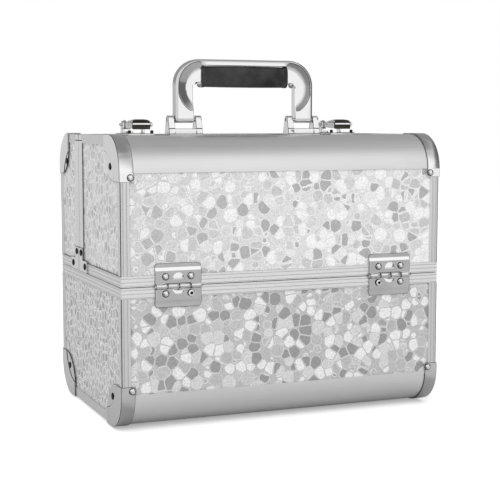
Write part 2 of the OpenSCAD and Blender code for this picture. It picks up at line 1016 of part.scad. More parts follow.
base_long_panels();
base_side_panels();
base_bottom_panel();
base_quarter_rounds();
base_edge_profiles();
base_rim_profiles();
base_corner_caps();
base_rivets();
base_feet();
base_lining();
hinge_lower_leaves();
hinge_pins();
arm_pivot_studs();
front_lid_front_panel();
front_lid_top_panel();
front_lid_side_panels();
front_lid_quarter_round();
front_lid_edge_profiles();
front_lid_rim_profiles();
front_lid_split_profiles();
front_lid_corner_caps();
front_lid_corner_plates();
front_lid_rivets();
front_lid_lining();
front_hinge_leaves();
front_tray_studs();
handle_brackets();
handle_pins();
latch_bases();
latch_pins();
rear_lid_rear_panel();
rear_lid_top_panel();
rear_lid_side_panels();
rear_lid_quarter_round();
rear_lid_edge_profiles();
rear_lid_rim_profiles();
rear_lid_split_profiles();
rear_lid_corner_caps();
rear_lid_corner_plates();
rear_lid_rivets();
rear_lid_lining();
rear_hinge_leaves();
rear_tray_studs();
latch_strikes();
handle_bow();
handle_grip();
grip_screws();
latch_lever_left();
latch_lever_right();
latch_hook_left();
latch_hook_right();
front_outer_arms();
front_inner_arms();
rear_outer_arms();
rear_inner_arms();
front_lower_tray();
front_upper_tray();
rear_lower_tray();
rear_upper_tray();
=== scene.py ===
"""Makeup train case: finishes, turned and rolled hardware details, studio and camera."""
import logging
import math
from dataclasses import dataclass, field
from enum import Enum
from functools import cache
from typing import Iterable, Mapping, Sequence

import bmesh
import bpy
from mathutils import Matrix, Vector


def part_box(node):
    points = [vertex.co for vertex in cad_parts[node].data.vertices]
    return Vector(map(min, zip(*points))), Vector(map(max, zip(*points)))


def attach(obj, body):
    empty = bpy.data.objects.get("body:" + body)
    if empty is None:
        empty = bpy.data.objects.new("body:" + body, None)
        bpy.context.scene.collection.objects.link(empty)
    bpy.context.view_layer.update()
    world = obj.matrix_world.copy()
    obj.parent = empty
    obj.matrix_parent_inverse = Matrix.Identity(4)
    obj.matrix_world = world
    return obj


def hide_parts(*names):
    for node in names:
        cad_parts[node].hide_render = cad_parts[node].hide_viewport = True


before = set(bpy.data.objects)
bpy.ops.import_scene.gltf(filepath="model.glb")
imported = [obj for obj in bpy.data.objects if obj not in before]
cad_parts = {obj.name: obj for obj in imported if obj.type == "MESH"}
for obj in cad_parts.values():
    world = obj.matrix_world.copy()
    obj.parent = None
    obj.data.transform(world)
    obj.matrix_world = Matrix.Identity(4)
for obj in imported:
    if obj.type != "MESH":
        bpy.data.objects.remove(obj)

LOG = logging.getLogger("train_case")
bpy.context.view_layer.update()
MM = 0.001
HINGE_X = 101.3 * MM
LATCH_X = 102.0 * MM
LID_TOP = 252.5 * MM

Colour = tuple[float, float, float, float]
Profile = Sequence[tuple[float, float]]
Node = bpy.types.Node
Socket = bpy.types.NodeSocket
Piece = bpy.types.Object


def grey(level: float, warmth: float = 0.0) -> Colour:
    """Returns a neutral colour, a little warmer or cooler by warmth."""
    return (level * (1 + warmth), level, level * (1 - warmth), 1.0)


class Side(Enum):
    """Left and right of the case, with the sign of X."""

    LEFT = -1
    RIGHT = 1


class RivetKind(Enum):
    """How the head of a rivet is formed."""

    DOMED = "domed"
    BLACKENED = "blackened"
    EYELET = "eyelet"


class BrushAxis(Enum):
    """The direction that the grain of a brushed metal runs in, as noise scales along X, Y and Z."""

    ALONG_X = (14.0, 1400.0, 1400.0)
    ALONG_Z = (1400.0, 1400.0, 14.0)
    NONE = (60.0, 60.0, 60.0)


class NormalAxis(Enum):
    """The axis of the normal that a metal's painted light and shade go by."""

    UP = "Z"
    BACKWARD = "Y"


# ---------- node trees ----------


class Graph:
    """Adds and links nodes in one node tree."""

    def __init__(self, tree: bpy.types.NodeTree) -> None:
        """Keeps the tree that the nodes go into."""
        self.tree = tree

    def add(self, kind: str, *values: object, **settings: object) -> Node:
        """Adds one node.

        Args:
            kind: The node's type name.
            values: Sockets or plain values for its first inputs, in order.
            settings: Properties to set on the node.

        Returns:
            The new node.
        """
        node = self.tree.nodes.new(kind)
        for name, value in settings.items():
            setattr(node, name, value)
        for value, socket in zip(values, node.inputs):
            self.put(value, socket)
        return node

    def put(self, value: object, socket: Socket) -> None:
        """Links a socket, or sets a plain value, on an input."""
        if isinstance(value, Socket):
            self.tree.links.new(value, socket)
        else:
            socket.default_value = value

    def math(self, operation: str, *values: object) -> Socket:
        """Adds a Math node and returns its output."""
        return self.add("ShaderNodeMath", *values, operation=operation).outputs[0]

    def mix(self, factor: object, first: object, second: object, blend: str = "MIX") -> Socket:
        """Mixes two colours.

        Args:
            factor: Share of the second colour.
            first: First colour or socket.
            second: Second colour or socket.
            blend: The blend type.

        Returns:
            The mixed colour.
        """
        node = self.add("ShaderNodeMix", data_type="RGBA", blend_type=blend)
        for value, index in ((factor, 0), (first, 6), (second, 7)):
            self.put(value, node.inputs[index])
        return node.outputs[2]

    def spread(self, value: object, low: object, high: object, to_low: object = 0.0, to_high: object = 1.0,
               smooth: bool = True) -> Socket:
        """Maps a value from one range to another, held at both ends, with an eased or an even step."""
        return self.add("ShaderNodeMapRange", value, low, high, to_low, to_high, clamp=True,
                        interpolation_type="SMOOTHSTEP" if smooth else "LINEAR").outputs[0]

    def noise(self, vector: object, scale: object, detail: float = 2.0, distortion: float = 0.0,
              output: str = "Fac") -> Socket:
        """Adds a noise texture.

        Args:
            vector: Where the texture is read.
            scale: Size of the pattern.
            detail: Number of finer layers.
            distortion: How much the pattern is warped.
            output: Name of the output that is wanted.

        Returns:
            The output.
        """
        node = self.add("ShaderNodeTexNoise")
        self.put(vector, node.inputs["Vector"])
        self.put(scale, node.inputs["Scale"])
        node.inputs["Detail"].default_value = detail
        node.inputs["Distortion"].default_value = distortion
        return node.outputs[output]

    def cells(self, vector: object, scale: object, feature: str = "F1", randomness: float = 1.0) -> Node:
        """Adds a cell texture.

        Args:
            vector: Where the texture is read.
            scale: Size of the cells.
            feature: Which distance the texture gives.
            randomness: How irregular the cells are.

        Returns:
            The texture node.
        """
        node = self.add("ShaderNodeTexVoronoi", feature=feature)
        self.put(vector, node.inputs["Vector"])
        self.put(scale, node.inputs["Scale"])
        node.inputs["Randomness"].default_value = randomness
        return node

    def split(self, vector: object) -> bpy.types.NodeOutputs:
        """Splits a vector into its outputs X, Y and Z."""
        return self.add("ShaderNodeSeparateXYZ", vector).outputs

    def sway(self, vector: object, at: object, scale: float, detail: float, reach: float) -> Socket:
        """Shifts a vector by soft noise that is read at a place, by up to a reach in metres."""
        shift = self.noise(at, scale, detail, output="Color")
        return self.add("ShaderNodeVectorMath", shift, (reach, reach, reach), vector,
                        operation="MULTIPLY_ADD").outputs[0]

    def stretch(self, vector: object, factors: object) -> Socket:
        """Multiplies a vector by factors along X, Y and Z."""
        return self.add("ShaderNodeVectorMath", vector, factors, operation="MULTIPLY").outputs[0]


def fresh_graph(owner: bpy.types.ID) -> Graph:
    """Clears the nodes of a material or a world, and returns their graph."""
    owner.use_nodes = True
    owner.node_tree.nodes.clear()
    return Graph(owner.node_tree)


class GroupBook:
    """Shader node groups that more than one material uses; each is built once."""

    def __init__(self) -> None:
        """Starts with no groups."""
        self._made: dict[str, bpy.types.NodeTree] = {}
        self._wiring = {"brushed_grain": self._brushed_grain, "handling_marks": self._handling_marks,
                        "pebble_mosaic": self._pebble_mosaic, "pore_grain": self._pore_grain}

    def get(self, name: str) -> bpy.types.NodeTree:
        """Returns a group, made on first use."""
        if name not in self._made:
            self._made[name] = bpy.data.node_groups.new(name, "ShaderNodeTree")
            self._wiring[name](Graph(self._made[name]))
        return self._made[name]

    def _sockets(self, graph: Graph, inputs: Mapping[str, object],
                 outputs: Iterable[str]) -> tuple[dict, bpy.types.NodeInputs]:
        """Gives a group its sockets.

        Args:
            graph: The group's graph.
            inputs: Default of each input by name; one without a number is a vector.
            outputs: Name of each output; all of them are numbers.

        Returns:
            The group's input sockets by name, and the inputs of its output node.
        """
        for label, value in inputs.items():
            kind = "NodeSocketFloat" if isinstance(value, float) else "NodeSocketVector"
            socket = graph.tree.interface.new_socket(name=label, in_out="INPUT", socket_type=kind)
            if value is not None:
                socket.default_value = value
        for label in outputs:
            graph.tree.interface.new_socket(name=label, in_out="OUTPUT", socket_type="NodeSocketFloat")
        return {s.name: s for s in graph.add("NodeGroupInput").outputs}, graph.add("NodeGroupOutput").inputs

    def _brushed_grain(self, graph: Graph) -> None:
        """Wires fine parallel brush lines: a shade between 0 and 1, and a height."""
        given, out = self._sockets(graph, {"Vector": None, "Stretch": BrushAxis.ALONG_X.value, "Streaks": 0.4},
                                   ("Shade", "Height"))
        where = graph.stretch(given["Vector"], given["Stretch"])
        fine = graph.noise(where, scale=1.0, detail=3.0)
        broad = graph.noise(where, scale=0.12, detail=2.0)
        shade = graph.math("MULTIPLY_ADD", graph.math("SUBTRACT", broad, fine), given["Streaks"], fine)
        graph.put(graph.spread(shade, 0.25, 0.75), out["Shade"])
        graph.put(fine, out["Height"])

    def _handling_marks(self, graph: Graph) -> None:
        """Wires soft smudges and sparse short scuffs: two masks."""
        given, out = self._sockets(graph, {"Vector": None, "Scale": 30.0}, ("Smudge", "Scuff"))
        smudge = graph.noise(given["Vector"], given["Scale"], detail=4.0, distortion=0.6)
        short, finer = (1.0, 1.0, 7.0), 6.0
        scratch = graph.noise(graph.stretch(given["Vector"], short), graph.math("MULTIPLY", given["Scale"], finer),
                              detail=5.0, distortion=1.2)
        graph.put(graph.spread(smudge, 0.38, 0.68), out["Smudge"])
        graph.put(graph.spread(scratch, 0.66, 0.74), out["Scuff"])

    def _pebble_mosaic(self, graph: Graph) -> None:
        """Wires rounded many-sided cells in a random tone each, with thin lines and a fine sparkle."""
        given, out = self._sockets(
            graph, {"Vector": None, "Scale": 96.0, "Line Width": 0.035, "Roundness": 0.69, "Sparkle Scale": 900.0},
            ("Tone", "Pebble", "Line", "Sparkle", "Dome"))
        irregular, rim, dome = 0.82, 1.6, 0.16
        drift = graph.sway(given["Vector"], given["Vector"], scale=48.0, detail=0.0, reach=2.8 * MM)
        swayed = graph.sway(drift, given["Vector"], scale=130.0, detail=1.0, reach=1.6 * MM)
        cell = graph.cells(swayed, given["Scale"], randomness=irregular)
        edge = graph.cells(swayed, given["Scale"], "DISTANCE_TO_EDGE", irregular)
        graph.put(graph.add("ShaderNodeSeparateColor", cell.outputs["Color"]).outputs[0], out["Tone"])
        inside = graph.math("SUBTRACT", given["Roundness"], cell.outputs["Distance"])
        depth = graph.math("MINIMUM", edge.outputs["Distance"], inside)
        outer = graph.math("MULTIPLY", given["Line Width"], rim)
        graph.put(graph.spread(depth, given["Line Width"], outer), out["Pebble"])
        near = graph.math("ABSOLUTE", graph.math("SUBTRACT", depth, given["Line Width"]))
        graph.put(graph.spread(near, 0.0, given["Line Width"], 1.0, 0.0), out["Line"])
        grit = graph.noise(given["Vector"], given["Sparkle Scale"], detail=3.0)
        graph.put(graph.spread(grit, 0.3, 0.7, 0.0, 1.0, False), out["Sparkle"])
        graph.put(graph.spread(depth, 0.0, dome), out["Dome"])

    def _pore_grain(self, graph: Graph) -> None:
        """Wires a closed irregular grain for leather, moulded plastic and rubber: a height and a shade."""
        given, out = self._sockets(graph, {"Vector": None, "Scale": 900.0}, ("Height", "Shade"))
        crease = graph.cells(given["Vector"], given["Scale"], "DISTANCE_TO_EDGE")
        coarser, crease_width, swell = 0.08, 0.16, 0.6
        broad = graph.noise(given["Vector"], graph.math("MULTIPLY", given["Scale"], coarser), detail=3.0,
                            distortion=0.4)
        ridge = graph.spread(crease.outputs["Distance"], 0.0, crease_width)
        graph.put(graph.math("MULTIPLY_ADD", broad, swell, ridge), out["Height"])
        graph.put(graph.spread(broad, 0.3, 0.7), out["Shade"])


GROUPS = GroupBook()


# ---------- finishes ----------


class Surface(Graph):
    """The graph of one material, with its shader."""

    def __init__(self, name: str) -> None:
        """Makes the material, with a plain shader in it."""
        self.made = bpy.data.materials.new(name)
        super().__init__(fresh_graph(self.made).tree)
        shader = self.add("ShaderNodeBsdfPrincipled")
        self.add("ShaderNodeOutputMaterial", shader.outputs[0])
        self.shader = shader.inputs
        self.where = self.add("ShaderNodeTexCoord").outputs["Object"]

    def group(self, name: str, **values: object) -> bpy.types.NodeOutputs:
        """Places a shared group on the surface.

        Args:
            name: Name of the group.
            values: Inputs by name, with underscores for spaces.

        Returns:
            The group's outputs.
        """
        node = self.add("ShaderNodeGroup", self.where, node_tree=GROUPS.get(name))
        for label, value in values.items():
            self.put(value, node.inputs[label.replace("_", " ")])
        return node.outputs

    def rough(self, value: Socket, smooth: float, rough: float) -> None:
        """Spreads the roughness between two levels by a value."""
        self.put(self.spread(value, 0.0, 1.0, smooth, rough, False), self.shader["Roughness"])

    def bump(self, height: Socket, depth: float) -> None:
        """Raises a height to a relief of some depth in metres."""
        node = self.add("ShaderNodeBump")
        node.inputs["Strength"].default_value = 1.0
        node.inputs["Distance"].default_value = depth
        self.put(height, node.inputs["Height"])
        self.put(node.outputs[0], self.shader["Normal"])


@dataclass(frozen=True)
class Finish:
    """A finish: its name, the record's slot that it belongs to, and how its material is made."""

    name: str
    slot: str

    def wire(self, on: Surface) -> None:
        """Wires the nodes that make this finish."""
        raise NotImplementedError

    @cache
    def material(self) -> bpy.types.Material:
        """Returns the material, made on first use."""
        surface = Surface(self.name)
        self.wire(surface)
        return surface.made


@dataclass(frozen=True)
class MosaicBoard(Finish):
    """Printed silver film with a pebble mosaic, on board."""

    dark: float = 0.47
    middle: float = 0.66
    # Along X the ground gets lighter and the lines paler towards +X, and the pattern calmer towards -X.
    lift: float = 0.11
    line_paling_along_x: float = 0.9
    light: float = 0.94
    vary: tuple[float, float] = (0.90, 1.12)
    pale_line: float = 0.95
    deep_line: float = 0.56
    line_share: float = 0.9
    cells_per_m: float = 102.0
    line_width: float = 0.035
    sparkle: float = 0.17
    step: float = 0.005
    dark_share: float = 0.23
    soft_from: float = 0.64
    light_share: float = 0.28
    calm_from: float = -0.15
    calm_to: float = 0.02
    calm: float = 0.25
    roughness: tuple[float, float] = (0.32, 0.48)
    relief: float = 0.00003

    def _step(self, on: Surface, tone: Socket, edge: float) -> Socket:
        """Returns 0 for tones below an edge, and 1 above it."""
        return on.spread(tone, edge - self.step, edge + self.step)

    def wire(self, on: Surface) -> None:
        """Wires cell tones, thin lines, sparkle and a slight relief."""
        mosaic = on.group("pebble_mosaic", Scale=self.cells_per_m, Line_Width=self.line_width)
        tone, light, pale = mosaic["Tone"], grey(self.light), grey(self.pale_line)
        along = on.spread(on.split(on.where)["X"], self.calm_from, self.calm_to)
        ground = on.mix(along, grey(self.middle), grey(self.middle + self.lift))
        span = on.mix(on.spread(tone, self.dark_share, self.soft_from, smooth=False), *map(grey, self.vary))
        cell = on.mix(1.0, grey(self.middle), span, "MULTIPLY")
        low = on.mix(self._step(on, tone, self.dark_share), grey(self.dark), cell)
        soft = on.mix(self._step(on, tone, self.soft_from), low, on.mix(0.5, ground, light))
        is_light = self._step(on, tone, 1.0 - self.light_share)
        pebbles = on.mix(mosaic["Pebble"], ground, on.mix(is_light, soft, light))
        deep = on.mix(on.math("MULTIPLY", along, self.line_paling_along_x), grey(self.deep_line), pale)
        lined = on.mix(on.math("MULTIPLY", mosaic["Line"], self.line_share), pebbles, on.mix(is_light, pale, deep))
        calmed = on.mix(on.spread(along, 0.0, 1.0, self.calm, 0.0), lined, ground)
        flake = on.spread(mosaic["Sparkle"], 0.0, 1.0, 1.0 - self.sparkle, 1.0 + self.sparkle, False)
        shade = on.add("ShaderNodeCombineColor", flake, flake, flake)
        on.put(on.mix(1.0, calmed, shade.outputs[0], "MULTIPLY"), on.shader["Base Color"])
        on.rough(mosaic["Sparkle"], *self.roughness)
        on.shader["Metallic"].default_value = 0.1
        on.shader["Coat Weight"].default_value = 0.1
        on.shader["Coat Roughness"].default_value = 0.2
        on.bump(mosaic["Dome"], self.relief)


@dataclass(frozen=True)
class BrushedMetal(Finish):
    """Metal with brush lines, from satin aluminium to polished chrome; some copies have painted light and shade by the
    way their faces point.
    """

    light: Colour
    dark: Colour
    smooth: float
    rough: float
    axis: BrushAxis = BrushAxis.NONE
    depth: float = 0.000001
    smudges_per_m: float = 24.0
    scuffed: float = 0.35
    # Faces whose normal falls in this span along the axis are mixed towards a fixed level: a painted highlight where
    # it is lighter than the metal, painted shade where it is darker.
    painted_light_span: tuple[float, float, float, float] | None = None
    painted_light_level: float = 0.98
    painted_light_axis: NormalAxis = NormalAxis.UP

    def wire(self, on: Surface) -> None:
        """Wires brush lines into colour, roughness and relief, and smudges into roughness; where a span is given, it
        also mixes the colour towards a painted level by the way each face points.
        """
        grain = on.group("brushed_grain", Stretch=self.axis.value)
        marks = on.group("handling_marks", Scale=self.smudges_per_m)
        brushed = on.mix(grain["Shade"], self.dark, self.light)
        wear_and_painted_light = on.mix(on.math("MULTIPLY", marks["Scuff"], self.scuffed), brushed, self.dark)
        # Painted light and shade: colour mixed towards a fixed level by the direction of the face.
        if self.painted_light_span:
            turned = on.split(on.add("ShaderNodeTexCoord").outputs["Normal"])[self.painted_light_axis.value]
            wear_and_painted_light = on.mix(on.spread(turned, *self.painted_light_span), wear_and_painted_light, grey(self.painted_light_level))
        on.put(wear_and_painted_light, on.shader["Base Color"])
        blend = on.math("MULTIPLY_ADD", marks["Smudge"], 0.5, on.math("MULTIPLY", grain["Shade"], 0.5))
        on.rough(blend, self.smooth, self.rough)
        on.shader["Metallic"].default_value = 1.0
        on.bump(grain["Height"], self.depth)


@dataclass(frozen=True)
class GrainedSkin(Finish):
    """Leather, rubber, moulded plastic, flock or embossed paper: a closed grain with two tones."""

    dark: Colour
    light: Colour
    grain_per_m: float
    smooth: float
    rough: float
    depth: float = 0.0002
    sheen: float = 0.0
    smudges_per_m: float = 36.0
    rubbed: Colour | None = None

    def wire(self, on: Surface) -> None:
        """Wires the grain into colour, roughness and relief, with rubbed patches where they are wanted."""
        grain = on.group("pore_grain", Scale=self.grain_per_m)
        marks = on.group("handling_marks", Scale=self.smudges_per_m)
        tone = on.mix(grain["Shade"], self.dark, self.light)
        if self.rubbed:
            tone = on.mix(marks["Scuff"], tone, self.rubbed)
        on.put(tone, on.shader["Base Color"])
        on.rough(marks["Smudge"], self.smooth, self.rough)
        on.shader["Sheen Weight"].default_value = self.sheen
        on.bump(grain["Height"], self.depth)


# Normal spans, as from, to, share at from, share at to, for the painted light and shade of metals by the way faces
# point.
UPWARD = (0.08, 0.4, 0.0, 1.0)
MOSTLY_UPWARD = (0.08, 0.4, 0.0, 0.7)
DOWNWARD = (-0.95, -0.1, 0.5, 0.0)
BARELY_DOWNWARD = (-0.4, -0.06, 0.8, 0.0)
FORWARD = (-1.0, -0.93, 0.0, 1.0)
ALL_LINES = {"lift": 0.0, "pale_line": 1.0, "deep_line": 1.0, "cells_per_m": 112.0, "calm": 0.0}
# One printed film in several copies at different levels: the base panels are a darker copy of the lid panels, and the
# side panels are darker than the front and back, the base's sides darkest; the darker copies are painted shade.
LID_BOARD = MosaicBoard("mosaic_lid", "mosaic_board")
BASE_BOARD = MosaicBoard("mosaic_base", "mosaic_board", dark=0.34, middle=0.55, lift=-0.01, line_paling_along_x=0.0, light=0.88,
                         pale_line=0.80, cells_per_m=104.0, dark_share=0.28, soft_from=0.52, light_share=0.31,
                         calm=0.1)
SIDE_BOARD = MosaicBoard("mosaic_side", "mosaic_board", dark=0.36, middle=0.47, light=0.56, line_width=0.075,
                         **ALL_LINES)
LID_SIDE_BOARD = MosaicBoard("mosaic_lid_side", "mosaic_board", dark=0.47, middle=0.60, light=0.70,
                             line_width=0.06, **ALL_LINES)
TOP_BOARD = MosaicBoard("mosaic_top", "mosaic_board", lift=0.0, calm=0.0)
BOTTOM_BOARD = GrainedSkin("embossed_black", "black_board", grey(0.012), grey(0.022), 700.0, depth=0.00015,
                           smooth=0.5, rough=0.65, smudges_per_m=18.0, rubbed=grey(0.06))
SATIN_X = BrushedMetal("satin_aluminium_x", "satin_aluminium", grey(0.84), grey(0.79), 0.3, 0.4, BrushAxis.ALONG_X,
                       0.000004)
# Base rounds: painted shade on the faces that point down.
BASE_SATIN = BrushedMetal("satin_aluminium_base", "satin_aluminium", grey(0.87), grey(0.82), 0.3, 0.4,
                          BrushAxis.ALONG_X, 0.000004, painted_light_span=DOWNWARD, painted_light_level=0.48)
PROFILE_X = BrushedMetal("profile_aluminium_x", "ribbed_aluminium", grey(0.96), grey(0.91), 0.24, 0.34,
                         BrushAxis.ALONG_X, 0.000003)
PROFILE_Z = BrushedMetal("profile_aluminium_z", "ribbed_aluminium", grey(0.82), grey(0.76), 0.24, 0.34,
                         BrushAxis.ALONG_Z, 0.000003)
CHROME = BrushedMetal("polished_chrome", "chrome", grey(0.90), grey(0.84), 0.06, 0.16)
DARK_CHROME = BrushedMetal("smoked_chrome", "chrome", grey(0.06, 0.12), grey(0.03, 0.12), 0.08, 0.2)
# Hinge leaves: painted highlight on the faces that point up.
HINGE_STEEL = BrushedMetal("hinge_nickel", "chrome", grey(0.66), grey(0.58), 0.10, 0.2, painted_light_span=UPWARD)
# Lid caps and plates: painted shade, a dark reflection painted in, on the faces that point up.
CAP_CHROME = BrushedMetal("cap_chrome", "chrome", grey(0.94), grey(0.88), 0.08, 0.18, painted_light_span=MOSTLY_UPWARD,
                          painted_light_level=0.42)
# Base caps: a darker copy of the cap chrome, painted shade, darker still on faces that point a little down.
BASE_CAP_CHROME = BrushedMetal("base_cap_chrome", "chrome", grey(0.72), grey(0.64), 0.08, 0.18,
                               painted_light_span=BARELY_DOWNWARD, painted_light_level=0.40)
# Rivet and screw heads: painted highlight on the faces that point up.
RIVET_STEEL = BrushedMetal("rivet_steel", "steel", grey(0.34), grey(0.26), 0.08, 0.18, painted_light_span=UPWARD,
                           painted_light_level=0.85)
STEEL = BrushedMetal("turned_steel", "steel", grey(0.70), grey(0.58), 0.14, 0.28)
# Near-black finish of roundings, seat rings, dish outlines and seam lines: painted shade along edges.
EDGE_SHADE = BrushedMetal("painted_edge_shade", "steel", grey(0.05), grey(0.02), 0.3, 0.5)
# Grey finish of the thin strips beside the profile beads and of the rims' roundings: painted shade.
GROOVE_SHADE = BrushedMetal("shaded_groove", "ribbed_aluminium", grey(0.56), grey(0.46), 0.4, 0.6)
# Handle bow: the dish walls painted darker as shade, on the right shoulder fading by the way the wall faces; the outer
# edge painted a darker grey as shade.
DISH_METAL = BrushedMetal("shaded_dish", "chrome", grey(0.56), grey(0.50), 0.06, 0.14)
DISH_SHADE_GRADIENT = BrushedMetal("dish_shade_gradient", "chrome", grey(0.90), grey(0.84), 0.12, 0.22, painted_light_span=FORWARD,
                         painted_light_level=0.30, painted_light_axis=NormalAxis.BACKWARD)
BOW_SHADE = BrushedMetal("shaded_bow", "chrome", grey(0.66), grey(0.60), 0.08, 0.16)
BLACK_STEEL = BrushedMetal("blackened_steel", "steel", grey(0.03), grey(0.012), 0.25, 0.4)
ARM_STEEL = BrushedMetal("zinc_steel", "steel", grey(0.62), grey(0.5), 0.3, 0.45, BrushAxis.ALONG_Z, 0.00001)
LEATHER = GrainedSkin("pebbled_leather", "grip_leather", grey(0.001), grey(0.040), 620.0, smooth=0.38, rough=0.62)
LINING = GrainedSkin("flocked_lining", "black_lining", grey(0.012), grey(0.03), 2600.0, smooth=0.85, rough=1.0,
                     sheen=0.25)
PLASTIC = GrainedSkin("moulded_plastic", "tray_plastic", grey(0.018), grey(0.026), 1500.0, smooth=0.34, rough=0.46,
                      depth=0.00006)
RUBBER = GrainedSkin("moulded_rubber", "foot_rubber", grey(0.012), grey(0.02), 1200.0, smooth=0.7, rough=0.85,
                     depth=0.0001)


# ---------- mesh code ----------


def place(name: str, data: bpy.types.ID) -> Piece:
    """Puts a new object in the scene."""
    made = bpy.data.objects.new(name, data)
    bpy.context.scene.collection.objects.link(made)
    return made


@dataclass
class MeshSketch:
    """Collects points and faces, and turns them into one object."""

    points: list[Vector] = field(default_factory=list)
    faces: list[tuple[int, ...]] = field(default_factory=list)
    paints: list[int] = field(default_factory=list)

    def face(self, corners: Iterable[int], paint: int) -> None:
        """Adds one face with the number of its material."""
        self.faces.append(tuple(corners))
        self.paints.append(paint)

    def rings(self, rings: Sequence[Sequence[Vector]], paints: Sequence[int] | None = None,
              cap_first: bool = True, cap_last: bool = True) -> None:
        """Skins closed rings of points that all have the same count.

        Args:
            rings: The rings in order.
            paints: Material number of each band between rings.
            cap_first: Whether the first ring gets a face.
            cap_last: Whether the last ring gets a face.
        """
        start, count = len(self.points), len(rings[0])
        paints = paints or [0] * (len(rings) - 1)
        for ring in rings:
            self.points.extend(ring)
        for band, paint in enumerate(paints):
            low = start + band * count
            for i in range(count):
                j = (i + 1) % count
                self.face((low + i, low + j, low + count + j, low + count + i), paint)
        if cap_first:
            self.face(range(start + count - 1, start - 1, -1), paints[0])
        if cap_last:
            last = start + len(paints) * count
            self.face(range(last, last + count), paints[-1])

    def lathe(self, origin: Vector, axis: Vector, profile: Profile, wide: float, tall: float, steps: int,
              paints: Sequence[int] | None = None) -> None:
        """Turns a profile round an axis.

        Args:
            origin: Point on the axis at height 0.
            axis: Unit vector that the heights run along.
            profile: Radius and height of each ring, from the seat outwards.
            wide: Length that the radii are shares of.
            tall: Length that the heights are shares of.
            steps: Number of points round each ring.
            paints: Material number of each band.
        """
        turn = axis.to_track_quat("Z", "X").to_matrix()
        circle = [(math.cos(math.tau * i / steps), math.sin(math.tau * i / steps)) for i in range(steps)]
        self.rings([[origin + turn @ Vector((r * wide * c, r * wide * s, h * tall)) for c, s in circle]
                    for r, h in profile], paints)

    def bead(self, start: Vector, end: Vector, out: Vector, radius: float, height: float, steps: int = 6,
             paint: int = 0) -> None:
        """Runs a half-round bead along a line on a face.

        Args:
            start: First point of the line.
            end: Last point of the line.
            out: Direction away from the face.
            radius: Half of the bead's width.
            height: How far the bead stands proud.
            steps: Number of facets over the bead.
            paint: Material number.
        """
        sunk = -0.1
        across = out.cross((end - start).normalized()).normalized()
        arc = [(radius * math.cos(math.pi * k / steps),
                height * (math.sin(math.pi * k / steps) if 0 < k < steps else sunk)) for k in range(steps + 1)]
        self.rings([[point + across * wide + out * high for wide, high in arc] for point in (start, end)], [paint])

    def object(self, name: str, body: str, finishes: Sequence[Finish], smooth_deg: float = 40.0,
               replaced: Sequence[str] = ()) -> Piece:
        """Makes the object, and gives it its materials and body.

        Args:
            name: Name of the piece.
            body: The body that it rides on.
            finishes: Its finishes, in order of material number.
            smooth_deg: Edges sharper than this stay sharp.
            replaced: Nodes that the piece stands for.

        Returns:
            The new object.
        """
        mesh = bpy.data.meshes.new(name)
        mesh.from_pydata(self.points, [], self.faces)
        mesh.polygons.foreach_set("material_index", self.paints)
        mesh.polygons.foreach_set("use_smooth", [True] * len(self.faces))
        mesh.validate()
        shape = bmesh.new()
        shape.from_mesh(mesh)
        bmesh.ops.recalc_face_normals(shape, faces=shape.faces)
        shape.to_mesh(mesh)
        shape.free()
        mesh.update()
        mesh.set_sharp_from_angle(angle=math.radians(smooth_deg))
        for finish in finishes:
            mesh.materials.append(finish.material())
        made = place(name, mesh)
        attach(made, body)
        if replaced:
            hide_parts(*replaced)
        return made


def corners(node: str) -> tuple[Vector, Vector]:
    """Returns the lowest and highest corner of a CAD node."""
    low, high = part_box(node)
    return Vector(low), Vector(high)


def loose_parts(node: str) -> list[tuple[Vector, Vector]]:
    """Finds the separate solids of a CAD node.

    Args:
        node: Name of the node.

    Returns:
        The lowest and highest corner of each solid, in a fixed order.
    """
    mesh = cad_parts[node].data
    keys: dict[tuple[int, int, int], int] = {}
    index = [keys.setdefault(tuple(round(c * 1e6) for c in v.co), len(keys)) for v in mesh.vertices]
    parent = list(range(len(keys)))

    def root(i: int) -> int:
        """Follows the links to the first point of a solid."""
        while parent[i] != i:
            parent[i] = parent[parent[i]]
            i = parent[i]
        return i

    for polygon in mesh.polygons:
        first = root(index[polygon.vertices[0]])
        for v in polygon.vertices[1:]:
            parent[root(index[v])] = first
    found: dict[int, list[Vector]] = {}
    for v, i in zip(mesh.vertices, index):
        found.setdefault(root(i), []).append(v.co)
    boxes = [tuple(Vector([pick(values) for values in zip(*part)]) for pick in (min, max)) for part in found.values()]
    return sorted(boxes, key=lambda box: tuple(round(c, 5) for c in box[0]))


def soften(piece: Piece, width: float, edge: Finish | None) -> None:
    """Breaks the sharp edges of a CAD piece with a small rounding.

    Args:
        piece: The piece.
        width: Width of the rounding in metres.
        edge: Finish of the rounding, where it differs from the faces; a dark one is painted shade along the edges.
    """
    piece.modifiers.new("join", "WELD").merge_threshold = 0.002 * MM
    rounding = piece.modifiers.new("edge_rounding", "BEVEL")
    rounding.width = width
    rounding.segments = 2
    rounding.limit_method = "ANGLE"
    rounding.angle_limit = math.radians(35)
    rounding.harden_normals = True
    rounding.use_clamp_overlap = False
    if edge:
        piece.data.materials.append(edge.material())
        rounding.material = len(piece.data.materials) - 1


def dress(nodes: str, finish: Finish, width: float = 0.0, edge: Finish | None = None) -> None:
    """Gives CAD nodes a finish in place of their plain material.

    Args:
        nodes: Names of the nodes, with spaces between them.
        finish: The finish that they get.
        width: Width of their rounded edges in metres, or 0 for sharp ones.
        edge: Finish of the rounded edges, where it differs from the faces; a dark one is painted shade along the
            edges.
    """
    for node in nodes.split():
        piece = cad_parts[node]
        for slot in piece.material_slots:
            slot.link = "OBJECT"
            slot.material = finish.material()
        if width:
            soften(piece, width, edge)
        LOG.info("%s: %s", node, finish.name)


# ---------- sub-assemblies ----------


